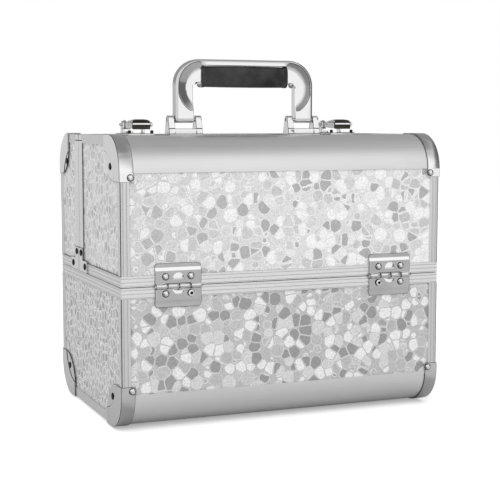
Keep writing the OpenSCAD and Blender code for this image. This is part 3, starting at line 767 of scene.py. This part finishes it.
@dataclass
class CaseShell:
    """Boards, rounded edges, metal profiles and lining of the base and the two lids."""

    bead: tuple[float, float] = (0.45 * MM, 0.40 * MM)
    # Thin flat strip beside each bead, painted dark as shade: half width and height, then its offset.
    shade_strip: tuple[float, float] = (0.22 * MM, 0.06 * MM)
    shade_strip_off: float = 0.62 * MM
    corner_bead: tuple[float, float] = (0.45 * MM, 0.2 * MM)
    seam_bead: tuple[float, float] = (0.4 * MM, 0.15 * MM)
    sink: float = 0.1 * MM
    rim_beads: tuple[float, ...] = (0.16, 0.50, 0.84)
    post_beads: tuple[float, ...] = (0.22, 0.62)
    post_width: float = 8.0 * MM
    cap_top: float = 41.0 * MM
    post_top: float = 214.0 * MM
    rim_edge: float = 0.2 * MM
    split_edge: float = 0.45 * MM

    def build(self) -> list[Piece]:
        """Dresses the shell and makes the beads of the profiles."""
        dress("front_lid_front_panel rear_lid_rear_panel", LID_BOARD)
        dress("front_lid_top_panel rear_lid_top_panel", TOP_BOARD)
        dress("base_long_panels", BASE_BOARD)
        dress("base_side_panels", SIDE_BOARD)
        dress("front_lid_side_panels rear_lid_side_panels", LID_SIDE_BOARD)
        dress("base_bottom_panel", BOTTOM_BOARD)
        dress("front_lid_quarter_round rear_lid_quarter_round", SATIN_X)
        dress("base_quarter_rounds", BASE_SATIN)
        dress("base_edge_profiles front_lid_edge_profiles rear_lid_edge_profiles", PROFILE_Z)
        # The rims' roundings are painted grey and the split profiles' roundings near black, as painted shade along
        # their edges.
        dress("base_rim_profiles front_lid_rim_profiles rear_lid_rim_profiles", PROFILE_X, self.rim_edge, GROOVE_SHADE)
        dress("front_lid_split_profiles rear_lid_split_profiles", PROFILE_X, self.split_edge, EDGE_SHADE)
        dress("base_lining front_lid_lining rear_lid_lining", LINING)
        return [self.beads("base", (-1, 1)), self.beads("front_lid", (-1,)), self.beads("rear_lid", (1,))]

    def _line(self, sketch: MeshSketch, start: Vector, end: Vector, out: Vector, beside: Vector,
              paint: int = 0) -> None:
        """Runs one bead, with a thin strip beside it painted dark as shade.

        Args:
            sketch: Where they go.
            start: First point of the bead.
            end: Last point of the bead.
            out: Direction away from the face.
            beside: Direction from the bead to its painted shade strip.
            paint: Material number of the bead.
        """
        sketch.bead(start, end, out, *self.bead, paint=paint)
        shift = beside * self.shade_strip_off
        sketch.bead(start + shift, end + shift, out, *self.shade_strip, 2, 1)

    def _posts(self, sketch: MeshSketch, body: str, z0: float, z1: float, faces: Sequence[int]) -> None:
        """Runs upright beads on both faces of the posts, and a near-black line down their corner, painted shade.

        Args:
            sketch: Where the beads go.
            body: The body whose posts carry them.
            z0: Lower end.
            z1: Upper end.
            faces: Signs of Y of the long faces.
        """
        low, high = corners(f"{body}_edge_profiles")
        for side in Side:
            face_x = high.x if side is Side.RIGHT else low.x
            for sign in faces:
                face_y = low.y if sign < 0 else high.y
                out_x, out_y = Vector((side.value, 0, 0)), Vector((0, sign, 0))
                slant = (out_y + out_x).normalized()
                seat = Vector((face_x, face_y, 0)) - slant * self.sink
                sketch.bead(seat + Vector((0, 0, z0)), seat + Vector((0, 0, z1)), slant, *self.corner_bead, 4, 2)
                for share in self.post_beads:
                    inset = self.post_width * share
                    for x, y, out, beside in ((face_x - side.value * inset, face_y, out_y, -out_x),
                                              (face_x, face_y - sign * inset, out_x, -out_y)):
                        self._line(sketch, Vector((x, y, z0)), Vector((x, y, z1)), out, beside, 3)

    def beads(self, body: str, faces: Sequence[int]) -> Piece:
        """Makes the fine beads on the rim and the posts of the base or a lid.

        Args:
            body: The body that they ride on.
            faces: Signs of Y of its long faces.

        Returns:
            The piece.
        """
        sketch = MeshSketch()
        low, high = corners(f"{body}_rim_profiles")
        down = Vector((0, 0, -1))
        for z in (low.z + share * (high.z - low.z) for share in self.rim_beads):
            for x, sign in ((low.x, -1), (high.x, 1)):
                self._line(sketch, Vector((x, low.y, z)), Vector((x, high.y, z)), Vector((sign, 0, 0)), down)
            for sign in faces:
                y = low.y if sign < 0 else high.y
                self._line(sketch, Vector((low.x, y, z)), Vector((high.x, y, z)), Vector((0, sign, 0)), down)
        if body == "base":
            self._posts(sketch, body, self.cap_top, low.z, faces)
        else:
            z = high.z - self.sink
            # A near-black bead along each side seam of the lid: painted shade of the seam.
            for x, sign in ((low.x, -1), (high.x, 1)):
                sketch.bead(Vector((x, low.y, z)), Vector((x, high.y, z)), Vector((sign, 0, 0)), *self.seam_bead, 4, 2)
            self._posts(sketch, body, high.z, self.post_top, faces)
        return sketch.object(f"{body}_profile_beads", body, [PROFILE_X, GROOVE_SHADE, EDGE_SHADE, PROFILE_Z])


@dataclass
class CornerHardware:
    """Corner caps, corner plates and all rivets of the shell."""

    dome: Profile = ((0.0, 0.0), (1.0, 0.0), (1.0, 0.14), (0.87, 0.52), (0.72, 0.74), (0.52, 0.90), (0.25, 0.985))
    eyelet: Profile = ((0.0, 0.0), (1.0, 0.0), (1.0, 0.3), (0.88, 0.85), (0.80, 0.97), (0.42, 0.97), (0.32, 0.6),
                       (0.28, 0.3))
    # Band finishes of each head: domed heads have their seat and lower dome painted near black as shade and their
    # crown painted chrome as a highlight; eyelets have their outside edge and their hole painted black as shade.
    paints: Mapping[RivetKind, Sequence[int]] = field(default_factory=lambda: {
        RivetKind.DOMED: (1, 1, 1, 0, 0, 2), RivetKind.BLACKENED: (0, 0, 0, 0, 0, 0),
        RivetKind.EYELET: (1, 1, 1, 0, 0, 1, 1)})
    eyelets_from: float = 100.0 * MM
    eyelets_to: float = 140.0 * MM
    long_face_rise: float = 1.8
    edge: float = 0.36 * MM

    def build(self) -> list[Piece]:
        """Dresses the caps and plates and makes the rivets."""
        # The caps' and plates' roundings are painted near black: painted shade along their edges.
        dress("base_corner_caps", BASE_CAP_CHROME, self.edge, EDGE_SHADE)
        dress("front_lid_corner_caps rear_lid_corner_caps", CAP_CHROME, self.edge, EDGE_SHADE)
        dress("front_lid_corner_plates rear_lid_corner_plates", CAP_CHROME, self.edge, EDGE_SHADE)
        return [piece for body in ("base", "front_lid", "rear_lid") for piece in self.rivets(body)]

    def rivets(self, body: str) -> list[Piece]:
        """Makes turned heads in place of one body's plain rivets.

        Args:
            body: The body that they ride on.

        Returns:
            One piece for each kind of head.
        """
        node = f"{body}_rivets"
        finishes = {RivetKind.DOMED: [RIVET_STEEL, EDGE_SHADE, CHROME], RivetKind.BLACKENED: [BLACK_STEEL],
                    RivetKind.EYELET: [CHROME, BLACK_STEEL]}
        sketches = {kind: MeshSketch() for kind in RivetKind}
        for low, high in loose_parts(node):
            size, seat, out = high - low, (low + high) / 2, Vector((0, 0, 0))
            axis = 0 if size.x < size.y else 1
            out[axis] = 1.0 if seat[axis] > 0 else -1.0
            seat[axis] = low[axis] if out[axis] > 0 else high[axis]
            under_hinge = self.eyelets_from < seat.z < self.eyelets_to and abs(seat.x) < HINGE_X
            front_kind = RivetKind.EYELET if body == "base" and under_hinge else RivetKind.DOMED
            kind = front_kind if axis == 1 else RivetKind.BLACKENED
            shape = self.eyelet if kind is RivetKind.EYELET else self.dome
            rise = size[axis] * (self.long_face_rise if axis == 1 else 1.0)
            sketches[kind].lathe(seat, out, shape, size.z / 2, rise, 28, self.paints[kind])
        return [sketch.object(f"{body}_{kind.value}_rivets", body, finishes[kind], smooth_deg=60.0, replaced=[node])
                for kind, sketch in sketches.items() if sketch.faces]


@dataclass
class HingeSet:
    """Four long hinges: leaves, pins and the pressed half-moons on the leaves."""

    moon_half: float = 5.2 * MM
    moon_out: float = 1.5 * MM
    leaf_y: float = 103.75 * MM
    upper_z: float = 131.2 * MM
    upper_reach: float = 5.9 * MM
    lower_z: float = 122.9 * MM
    lower_reach: float = 4.4 * MM
    steps: int = 18
    levels: int = 7
    steepness: float = 1.25
    leaf_edge: float = 0.26 * MM
    pin_edge: float = 0.2 * MM

    def build(self) -> list[Piece]:
        """Dresses the hinges and makes the half-moons."""
        # The leaves' roundings are painted near black: painted shade along their edges.
        dress("hinge_lower_leaves front_hinge_leaves rear_hinge_leaves", HINGE_STEEL, self.leaf_edge, EDGE_SHADE)
        dress("hinge_pins", STEEL, self.pin_edge)
        return [self.moons("front_hinge_moons", "front_lid", (-1,), self.upper_z, self.upper_reach),
                self.moons("rear_hinge_moons", "rear_lid", (1,), self.upper_z, self.upper_reach),
                self.moons("base_hinge_moons", "base", (-1, 1), self.lower_z, -self.lower_reach)]

    def moons(self, name: str, body: str, faces: Sequence[int], z: float, reach: float) -> Piece:
        """Makes one pressed half-moon on each leaf, open on its straight side.

        Args:
            name: Name of the piece.
            body: The body that it rides on.
            faces: Signs of Y of the faces that have leaves.
            z: Height of the straight side.
            reach: How far the round side is from the straight one, upwards or downwards.

        Returns:
            The piece.
        """
        sketch = MeshSketch()
        for side, sign in ((side, sign) for side in Side for sign in faces):
            rings = []
            for k in range(self.levels + 2):
                share = min(k / self.levels, 1.0)
                ring = []
                for i in range(self.steps + 1):
                    across = share * math.cos(math.pi * i / self.steps)
                    away = share * math.sin(math.pi * i / self.steps)
                    slope = min(self.steepness * (1 - away if reach > 0 else away), 1.0)
                    lift = math.sqrt(max(1 - across * across, 0.0)) * math.sin(math.pi / 2 * slope)
                    lift = 0.0 if k > self.levels else lift
                    ring.append(Vector((side.value * HINGE_X + self.moon_half * across,
                                        sign * (self.leaf_y + self.moon_out * lift), z + reach * away)))
                rings.append(ring)
            sketch.rings(rings, cap_first=False, cap_last=False)
        return sketch.object(name, body, [CHROME], smooth_deg=50.0)


@dataclass
class HandleSet:
    """Folding handle: bow with dished shoulders, grip, screws, brackets and pins."""

    leg_in: float = 51.6 * MM
    pin_up: float = 13.6 * MM
    foot_round: float = 3.2 * MM
    foot_turns: tuple[float, ...] = (-0.98, -0.86, -0.62, -0.32, 0.0)
    bow_half: float = 5.6 * MM
    top_trim: float = 0.8 * MM
    top_shares: tuple[float, ...] = (0.97, 0.9, 0.6, 0.3, 0.0)
    notch_up: float = 5.5 * MM
    corner_r: float = 24.0 * MM
    rim_r: float = 2.6 * MM
    rim_share: float = 0.9
    rim_angles: tuple[float, ...] = (0, 20, 40, 65, 90)
    flat_least: float = 0.9 * MM
    inner_r: float = 0.5 * MM
    dish_x: float = 41.7 * MM
    dish_r: float = 25.2 * MM
    dish_depth: float = 2.7 * MM
    dish_wall: float = 8.4 * MM
    wall_slack: float = 1.02
    dish_line: float = 0.7 * MM
    dish_least: float = 0.3 * MM
    wall_steps: int = 6
    floor_steps: int = 5
    arc_steps: int = 20
    hair: float = 0.01 * MM
    grip_half: Profile = ((1.0, 0.90), (0.996, 0.965), (0.985, 1.0), (0.965, 1.0), (0.95, 0.97), (0.93, 0.955),
                          (0.6, 0.975), (0.2, 0.985))
    grip_steps: int = 56
    grip_bend: float = 2 / 3.6
    ball: Profile = ((0.55, 0.0), (0.8, 0.05), (0.95, 0.25), (1.0, 0.45), (0.93, 0.68), (0.75, 0.86), (0.45, 0.97),
                     (0.2, 1.0))
    ball_r: float = 2.7 * MM
    ball_high: float = 3.4 * MM
    bracket_edge: float = 0.36 * MM

    def build(self) -> list[Piece]:
        """Dresses the handle and makes its details."""
        # The brackets' roundings are painted near black: painted shade along their edges.
        dress("handle_brackets", CHROME, self.bracket_edge, EDGE_SHADE)
        dress("handle_pins", STEEL)
        return [self.bow(), self.grip(), self.screws()]

    def _stations(self) -> list[tuple[Vector, Vector, float]]:
        """Lists the cross-sections of the right half: outer point, inner point and half thickness."""
        _, bow_high = corners("handle_bow")
        grip_low, grip_high = corners("handle_grip")
        out_x, top, half, count = bow_high.x, bow_high.z - self.top_trim, self.bow_half, self.arc_steps
        pin_z = LID_TOP + self.pin_up
        centre = Vector((out_x - self.corner_r, 0, top - self.corner_r))
        notch_z = grip_low.z + self.notch_up
        legs = [(pin_z + self.foot_round * turn, half * math.sqrt(1 - turn * turn)) for turn in self.foot_turns]
        legs += [(pin_z + (min(notch_z, centre.z) - pin_z) * i / count, half) for i in range(1, count + 1)]
        made = [(Vector((out_x, 0, z)), Vector((self.leg_in, 0, z)), thick) for z, thick in legs]
        made.append((made[-1][0] + Vector((0, 0, self.hair)), Vector((grip_high.x, 0, notch_z + self.hair)), half))
        for i in range(1, count + 1):
            angle = math.pi / 2 * i / count
            outer = centre + self.corner_r * Vector((math.cos(angle), 0, math.sin(angle)))
            made.append((outer, Vector((grip_high.x, 0, notch_z + (grip_high.z - notch_z) * i / count)), half))
        for x in (grip_high.x * share for share in self.top_shares):
            made.append((Vector((x, 0, top)), Vector((x, 0, grip_high.z)), half))
        return made

    def _dish(self, point: Vector, centre: Vector, ease: float) -> float:
        """Returns how deep the front is hollowed at a point.

        Args:
            point: The point on the front.
            centre: Middle of the dish.
            ease: 0 for a straight wall, 1 for one that flattens inwards.

        Returns:
            The depth.
        """
        inside = self.dish_r - (point - centre).length
        if inside <= 0 or point.x < centre.x:
            return 0.0
        share = min(inside / self.dish_wall, 1.0)
        return self.dish_depth * share * (1.0 + ease * (1.0 - share))

    def _section(self, outer: Vector, inner: Vector, half: float, centre: Vector, ease: float) -> list[Vector]:
        """Makes one closed ring of the bow.

        Args:
            outer: Point on the outline.
            inner: Point on the window.
            half: Half thickness there.
            centre: Middle of the dish.
            ease: How much the dish's wall flattens inwards.

        Returns:
            The ring's points.
        """
        span, along, near = (inner - outer).length, (inner - outer).normalized(), outer - centre
        rim = min(self.rim_r, half * self.rim_share)
        dot = near.dot(along)
        root = dot * dot - (near.length_squared - self.dish_r ** 2)
        cross = -dot - math.sqrt(root) if root > 0 else span
        last = span - self.inner_r
        cross = min(max(cross, rim + self.flat_least), last)
        wall = min(cross + self.dish_wall * self.wall_slack, last)
        front = [(rim * (1 - math.cos(a)), rim * (1 - math.sin(a))) for a in map(math.radians, self.rim_angles)]
        stops = [cross - self.dish_line]
        stops += [cross + (wall - cross) * k / self.wall_steps for k in range(self.wall_steps + 1)]
        stops += [wall + (last - wall) * k / self.floor_steps for k in range(1, self.floor_steps + 1)]
        profile = [(u, -half + sink) for u, sink in front]
        profile += [(u, -half + self._dish(outer + along * u, centre, ease)) for u in stops]
        ring = [outer + along * u + Vector((0, y, 0)) for u, y in profile]
        sunk = self._dish(outer + along * last, centre, ease)
        ring.append(inner + Vector((0, -half + self.inner_r + sunk, 0)))
        ring.append(inner + Vector((0, half - self.inner_r, 0)))
        ring.append(outer + along * last + Vector((0, half, 0)))
        return ring + [outer + along * u + Vector((0, half - sink, 0)) for u, sink in reversed(front)]

    def _marks(self, ring: Sequence[Vector], half: float) -> list[int]:
        """Lists the material number of each side of a ring: 3 outside, 2 on the dish's outline, 1 on its wall; all
        three are painted shade.

        Args:
            ring: The ring's points.
            half: Half thickness there.

        Returns:
            One number for each side.
        """
        sunk = [point.y + half for point in ring]
        lip = len(self.rim_angles)
        end = lip + self.wall_steps
        hollow = max(sunk[lip + 1:end + 2]) > self.dish_least
        marks = [0] * len(ring)
        if hollow:
            marks[lip] = 2
            for i in range(lip + 1, end + 1):
                marks[i] = 1 if sunk[i + 1] > sunk[i] + self.hair else 0
        marks[:lip - 1] = [3] * (lip - 1)
        marks[-lip:] = [3] * lip
        return marks

    def bow(self) -> Piece:
        """Makes the bow: rounded outside edge, crisp window and a spoon-like hollow in each shoulder."""
        grip_low, _ = corners("handle_grip")
        centre = Vector((self.dish_x, 0, grip_low.z))
        sketch = MeshSketch()
        stations = self._stations()
        right = [self._section(outer, inner, half, centre, 1.0) for outer, inner, half in stations]
        left = [[Vector((-p.x, p.y, p.z)) for p in self._section(outer, inner, half, centre, 0.0)]
                for outer, inner, half in stations]
        marks = [self._marks(ring, half) for ring, (_, _, half) in zip(right, stations)]
        count = len(right[0])
        for rings, turned in (([ring[::-1] for ring in right], True), (left, False)):
            first = len(sketch.paints)
            sketch.rings(rings, cap_last=False)
            for band in range(len(rings) - 1):
                for i in range(count):
                    spot = (count - 2 - i) % count if turned else i
                    mark = min(marks[band][spot], marks[band + 1][spot])
                    sketch.paints[first + band * count + i] = 4 if turned and mark == 1 else mark
        # Painted shade: the outer edge darker grey, the dish's outline near black and its wall darker, fading on the
        # right shoulder by the way the wall faces.
        finishes = [CHROME, DISH_METAL, EDGE_SHADE, BOW_SHADE, DISH_SHADE_GRADIENT]
        return sketch.object("polished_bow", "handle", finishes, smooth_deg=32.0, replaced=["handle_bow"])

    def grip(self) -> Piece:
        """Makes the leather grip: full in the middle, with a rolled collar at each end."""
        low, high = corners("handle_grip")
        middle, half = (low + high) / 2, (high - low) / 2
        turns = [math.tau * i / self.grip_steps for i in range(self.grip_steps)]
        circle = [[math.copysign(abs(c) ** self.grip_bend, c) for c in (math.cos(a), math.sin(a))] for a in turns]
        sketch = MeshSketch()
        sketch.rings([[Vector((middle.x + along * half.x, middle.y + size * half.y * c, middle.z + size * half.z * s))
                       for c, s in circle]
                      for along, size in [(-a, size) for a, size in self.grip_half] + list(self.grip_half[::-1])])
        return sketch.object("leather_grip", "handle", [LEATHER], smooth_deg=55.0, replaced=["handle_grip"])

    def screws(self) -> Piece:
        """Makes the round screw heads beside the ends of the grip."""
        sketch = MeshSketch()
        for low, high in loose_parts("grip_screws"):
            seat = (low + high) / 2
            seat.y = high.y
            # The lower bands of each head are painted near black: painted shade under the head.
            sketch.lathe(seat, Vector((0, -1, 0)), self.ball, self.ball_r, self.ball_high, 24, (1, 1, 1, 0, 0, 0, 0))
        return sketch.object("grip_screw_heads", "handle", [RIVET_STEEL, EDGE_SHADE], smooth_deg=50.0,
                             replaced=["grip_screws"])


@dataclass
class LatchSet:
    """Two draw latches on the lids: folded levers, hooks, base plates and strikes; plain numbers are millimetres."""

    lever_half: float = 8.5 * MM
    cheek_t: float = 1.4 * MM
    cheek_off: float = 0.1 * MM
    pivot: tuple[float, float] = (24.0, 9.0)
    pivot_r: float = 4.2
    eye_trim: float = 0.6
    eye: Profile = ((1.0, -0.2), (1.0, 0.3), (0.8, 0.45), (0.45, 0.45), (0.4, 0.2))
    link: tuple[float, float] = (15.0, 8.0)
    link_off: float = 0.2 * MM
    nub: tuple[float, float] = (-0.5, 9.2)
    nub_shape: Profile = ((1.1, 0.0), (1.1, 0.8), (2.0, 0.9), (2.2, 1.8), (2.0, 2.7), (1.2, 3.2))
    link_r: float = 1.2 * MM
    stop_x: float = 10.7
    stop_y: float = -1.3
    stop_shape: Profile = ((1.5, 0.9), (1.5, 3.2), (1.3, 3.7), (0.8, 3.9))
    arm: Profile = ((-3.4, 5.4), (6.0, 5.4), (14.0, 6.0), (19.0, 6.2))
    arm_back: Profile = ((18.0, 11.6), (12.0, 12.0), (8.0, 12.9), (-1.0, 13.0), (-3.6, 11.5))
    eye_steps: int = 12
    eye_arc: float = 270.0
    plate_edge: float = 0.3 * MM
    hook_edge: float = 0.25 * MM
    paddle: Profile = ((10.5, 13.2), (7.0, 13.8), (2.0, 13.9), (-1.5, 13.6), (-3.6, 12.6), (-4.7, 11.2), (-4.9, 10.5),
                       (-5.0, 10.3), (-5.0, 9.0), (-4.8, 8.8), (-4.2, 6.4), (-4.4, 5.2), (-3.6, 4.7), (-3.0, 5.0),
                       (-3.1, 9.0), (-2.6, 11.0), (-1.0, 12.2), (4.0, 12.4), (10.5, 12.0))
    paddle_mid: tuple[float, float] = (1.0, 10.0)
    rise_from: float = 10.4
    # Band of the paddle's outline painted chrome as a highlight.
    painted_highlight_band: int = 7
    swell: tuple[tuple[float, float, float], ...] = (
        (-1.0, 0.90, 0.35), (-0.97, 0.97, 0.5), (-0.9, 1.0, 0.68), (-0.72, 1.0, 0.88), (-0.45, 1.0, 1.0),
        (0.5, 1.0, 1.0), (0.8, 1.0, 0.9), (0.93, 1.0, 0.72), (0.98, 0.97, 0.5), (1.0, 0.90, 0.35))

    def build(self) -> list[Piece]:
        """Dresses the latches and makes the levers and their stops."""
        # The plates', pins' and hooks' roundings are painted near black: painted shade along their edges.
        dress("latch_bases latch_strikes", CHROME, self.plate_edge, EDGE_SHADE)
        dress("latch_pins latch_hook_left latch_hook_right", STEEL, self.hook_edge, EDGE_SHADE)
        return [self.lever(side) for side in Side] + [self.stops()]

    def stops(self) -> Piece:
        """Makes the dark stops on the base plates, at both ends of each lever."""
        sketch = MeshSketch()
        for side, sign in ((side, sign) for side in Side for sign in (-1, 1)):
            seat = Vector((side.value * LATCH_X + sign * self.stop_x * MM, self.stop_y * MM, LID_TOP))
            sketch.lathe(seat, Vector((0, 0, 1)), self.stop_shape, MM, MM, 20)
        return sketch.object("latch_stops", "front_lid", [BLACK_STEEL])

    def _cheek(self) -> list[tuple[float, float]]:
        """Lists the outline of a lever's side: a slim arm that ends in a round eye."""
        turns = [math.radians(self.eye_arc * (i / self.eye_steps - 0.5)) for i in range(self.eye_steps + 1)]
        (y, z), r = self.pivot, self.pivot_r
        return [*self.arm, *((y + r * math.cos(a), z + r * math.sin(a)) for a in turns), *self.arm_back]

    def _paddle(self, sketch: MeshSketch, origin: Vector) -> None:
        """Makes the folded plate of a lever, swollen in the middle, with one band of its edge painted chrome as a
        highlight.

        Args:
            sketch: Where it goes.
            origin: Middle of the latch, on the lid.
        """
        middle = Vector((0, self.paddle_mid[0] * MM, self.paddle_mid[1] * MM))
        rings = []
        for x, size, rise in self.swell:
            heights = [z if z < self.rise_from else self.rise_from + (z - self.rise_from) * rise
                       for _, z in self.paddle]
            flats = [Vector((0, y * MM, z * MM)) for (y, _), z in zip(self.paddle, heights)]
            rings.append([origin + Vector((x * self.lever_half, 0, 0)) + middle + (flat - middle) * size
                          for flat in flats])
        start, count = len(sketch.faces), len(self.paddle)
        sketch.rings(rings)
        for band in range(len(rings) - 1):
            sketch.paints[start + band * count + self.painted_highlight_band] = 1

    def lever(self, side: Side) -> Piece:
        """Makes one lever: a folded paddle between two cheeks, with its cross pin.

        Args:
            side: Which latch it belongs to.

        Returns:
            The piece.
        """
        right = Vector((1, 0, 0))
        origin = Vector((side.value * LATCH_X, 0, LID_TOP))
        face_x = self.lever_half - self.cheek_off
        sketch = MeshSketch()
        self._paddle(sketch, origin)
        for sign in (-1, 1):
            xs = sorted((sign * (face_x - self.cheek_t), sign * face_x))
            sketch.rings([[origin + Vector((x, y * MM, z * MM)) for y, z in self._cheek()] for x in xs], [2])
            eye = Vector((sign * face_x, self.pivot[0] * MM, self.pivot[1] * MM)) + origin
            # The middle of each eye and the foot of the nub are painted near black as shade.
            sketch.lathe(eye, right * sign, self.eye, (self.pivot_r - self.eye_trim) * MM, MM, 24, [1, 1, 3, 3])
        nub = origin + Vector((face_x, self.nub[0] * MM, self.nub[1] * MM))
        sketch.lathe(nub, right, self.nub_shape, MM, MM, 20, [3, 3, 1, 1, 1])
        half = self.lever_half - self.link_off
        pin = origin + Vector((-half, self.link[0] * MM, self.link[1] * MM))
        sketch.lathe(pin, right, ((1, 0), (1, 1)), self.link_r, 2 * half, 20, [1])
        name, body = (f"latch_{part}_{side.name.lower()}" for part in ("paddle", "lever"))
        return sketch.object(name, body, [DARK_CHROME, CHROME, STEEL, EDGE_SHADE], smooth_deg=28.0,
                             replaced=[body])


@dataclass
class TrayStack:
    """Four cantilever trays, their arms and studs."""

    tray_edge: float = 0.4 * MM
    arm_edge: float = 0.25 * MM

    def build(self) -> list[Piece]:
        """Dresses the trays and the arms."""
        dress("front_lower_tray front_upper_tray rear_lower_tray rear_upper_tray", PLASTIC, self.tray_edge)
        dress("front_outer_arms front_inner_arms rear_outer_arms rear_inner_arms", ARM_STEEL, self.arm_edge)
        dress("arm_pivot_studs front_tray_studs rear_tray_studs", STEEL)
        return []


@dataclass
class FootSet:
    """Rubber feet with a hollow underside and a washer."""

    foot: Profile = ((0.0, 1.0), (1.0, 1.0), (1.0, 0.45), (0.97, 0.2), (0.9, 0.02), (0.8, 0.0), (0.45, 0.0),
                     (0.4, 0.12), (0.38, 0.5), (0.36, 0.5), (0.1, 0.44))
    paints: tuple[int, ...] = (0, 0, 0, 0, 0, 0, 0, 0, 1, 1)

    def build(self) -> list[Piece]:
        """Makes the feet in place of the plain ones."""
        sketch = MeshSketch()
        for low, high in loose_parts("base_feet"):
            size, seat = high - low, (low + high) / 2
            seat.z = low.z
            sketch.lathe(seat, Vector((0, 0, 1)), self.foot, size.x / 2, size.z, 36, self.paints)
        return [sketch.object("rubber_feet", "base", [RUBBER, STEEL], smooth_deg=50.0, replaced=["base_feet"])]


# ---------- studio ----------


@dataclass
class Studio:
    """Pale floor, soft light and the camera."""

    camera_at: tuple[float, float, float] = (-0.4418, -1.1031, 0.2646)
    camera_yaw: float = 22.116
    camera_pitch: float = -5.879
    lens: float = 90.06
    sensor: float = 36.0
    lamp_at: tuple[float, float, float] = (-1.1, -1.6, 1.7)
    lamp_aim: tuple[float, float, float] = (0.0, 0.0, 0.13)
    lamp_size: float = 1.5
    lamp_power: float = 16.0
    floor_size: float = 6.0
    floor_seen: float = 0.95
    floor_plain: float = 0.75
    floor_lift: float = 0.36
    mirrored_lift: float = 0.06
    floor_mirrored: float = 0.60
    fill: float = 0.86
    ceiling: float = 0.40
    ceiling_span: tuple[float, float] = (0.56, 0.98)
    back_level: float = 0.40
    back_horizon: float = 0.66
    horizon_span: tuple[float, float] = (0.03, 0.14)
    back_span: tuple[float, float] = (-0.1, 0.35)
    right_wall: float = 0.22
    right_span: tuple[float, float] = (0.55, 0.75)

    def build(self) -> None:
        """Makes the floor, the world, the lamp and the camera."""
        self.floor()
        self.world()
        self.lamp()
        self.camera()

    def floor(self) -> None:
        """Makes the plain floor, which keeps the shadow."""
        half = self.floor_size / 2
        mesh = bpy.data.meshes.new("studio_floor")
        mesh.from_pydata([(-half, -half, 0), (half, -half, 0), (half, half, 0), (-half, half, 0)], [], [(0, 1, 2, 3)])
        plane = place("studio_floor", mesh)
        made = bpy.data.materials.new("studio_floor")
        graph = fresh_graph(made)
        rays = graph.add("ShaderNodeLightPath").outputs
        bounced = graph.mix(rays["Is Glossy Ray"], grey(self.floor_plain), grey(self.floor_mirrored))
        shader = graph.add("ShaderNodeBsdfDiffuse", graph.mix(rays["Is Camera Ray"], bounced, grey(self.floor_seen)))
        seen = graph.math("MULTIPLY", rays["Is Camera Ray"], self.floor_lift)
        glow = graph.math("MULTIPLY_ADD", rays["Is Glossy Ray"], self.mirrored_lift, seen)
        lift = graph.add("ShaderNodeEmission", grey(1.0), glow)
        both = graph.add("ShaderNodeAddShader", shader.outputs[0], lift.outputs[0])
        graph.add("ShaderNodeOutputMaterial", both.outputs[0])
        mesh.materials.append(made)

    def world(self) -> None:
        """Makes the even white surroundings with a grey ceiling for metal to reflect."""
        world = bpy.data.worlds.new("studio_world")
        graph = fresh_graph(world)
        way = graph.split(graph.add("ShaderNodeTexCoord").outputs["Generated"])
        rays = graph.add("ShaderNodeLightPath").outputs
        above = graph.spread(way["Z"], *self.ceiling_span, 1.0, self.ceiling)
        rear = graph.spread(way["Z"], *self.horizon_span, self.back_horizon, self.back_level)
        behind = graph.spread(way["Y"], *self.back_span, 1.0, rear)
        right = graph.spread(way["X"], *self.right_span, 1.0, self.right_wall)
        seen = graph.math("MINIMUM", graph.math("MINIMUM", above, behind), right)
        lit = graph.spread(rays["Is Diffuse Ray"], 0.0, 1.0, 1.0, 0.0, False)
        level = graph.math("MULTIPLY_ADD", graph.math("SUBTRACT", seen, self.fill), lit, self.fill)
        full = graph.math("MULTIPLY_ADD", graph.math("SUBTRACT", 1.0, level), rays["Is Camera Ray"], level)
        shader = graph.add("ShaderNodeBackground", grey(1.0), full)
        graph.add("ShaderNodeOutputWorld", shader.outputs[0])
        bpy.context.scene.world = world

    def lamp(self) -> None:
        """Makes one soft lamp that points at the case."""
        data = bpy.data.lights.new("key_light", "AREA")
        data.size = self.lamp_size
        data.energy = self.lamp_power
        made = place("key_light", data)
        made.location = self.lamp_at
        toward = Vector(self.lamp_aim) - Vector(self.lamp_at)
        made.rotation_euler = toward.to_track_quat("-Z", "Y").to_euler()
        made.visible_glossy = False

    def camera(self) -> None:
        """Makes the camera."""
        data = bpy.data.cameras.new("camera")
        data.lens = self.lens
        data.sensor_width = self.sensor
        data.clip_end = 50.0
        made = place("camera", data)
        made.location = self.camera_at
        made.rotation_euler = (math.radians(90 + self.camera_pitch), 0.0, -math.radians(self.camera_yaw))
        bpy.context.scene.camera = made


def main() -> None:
    """Builds every sub-assembly in order and reports each piece."""
    logging.basicConfig(level=logging.INFO, format="%(name)s: %(message)s")
    bpy.context.scene.view_settings.view_transform = "Standard"
    assemblies = [CaseShell(), CornerHardware(), HingeSet(), HandleSet(), LatchSet(), TrayStack(), FootSet()]
    for assembly in assemblies:
        for piece in assembly.build():
            LOG.info("%s: %d faces", piece.name, len(piece.data.polygons))
    Studio().build()


if __name__ == "__main__":
    main()
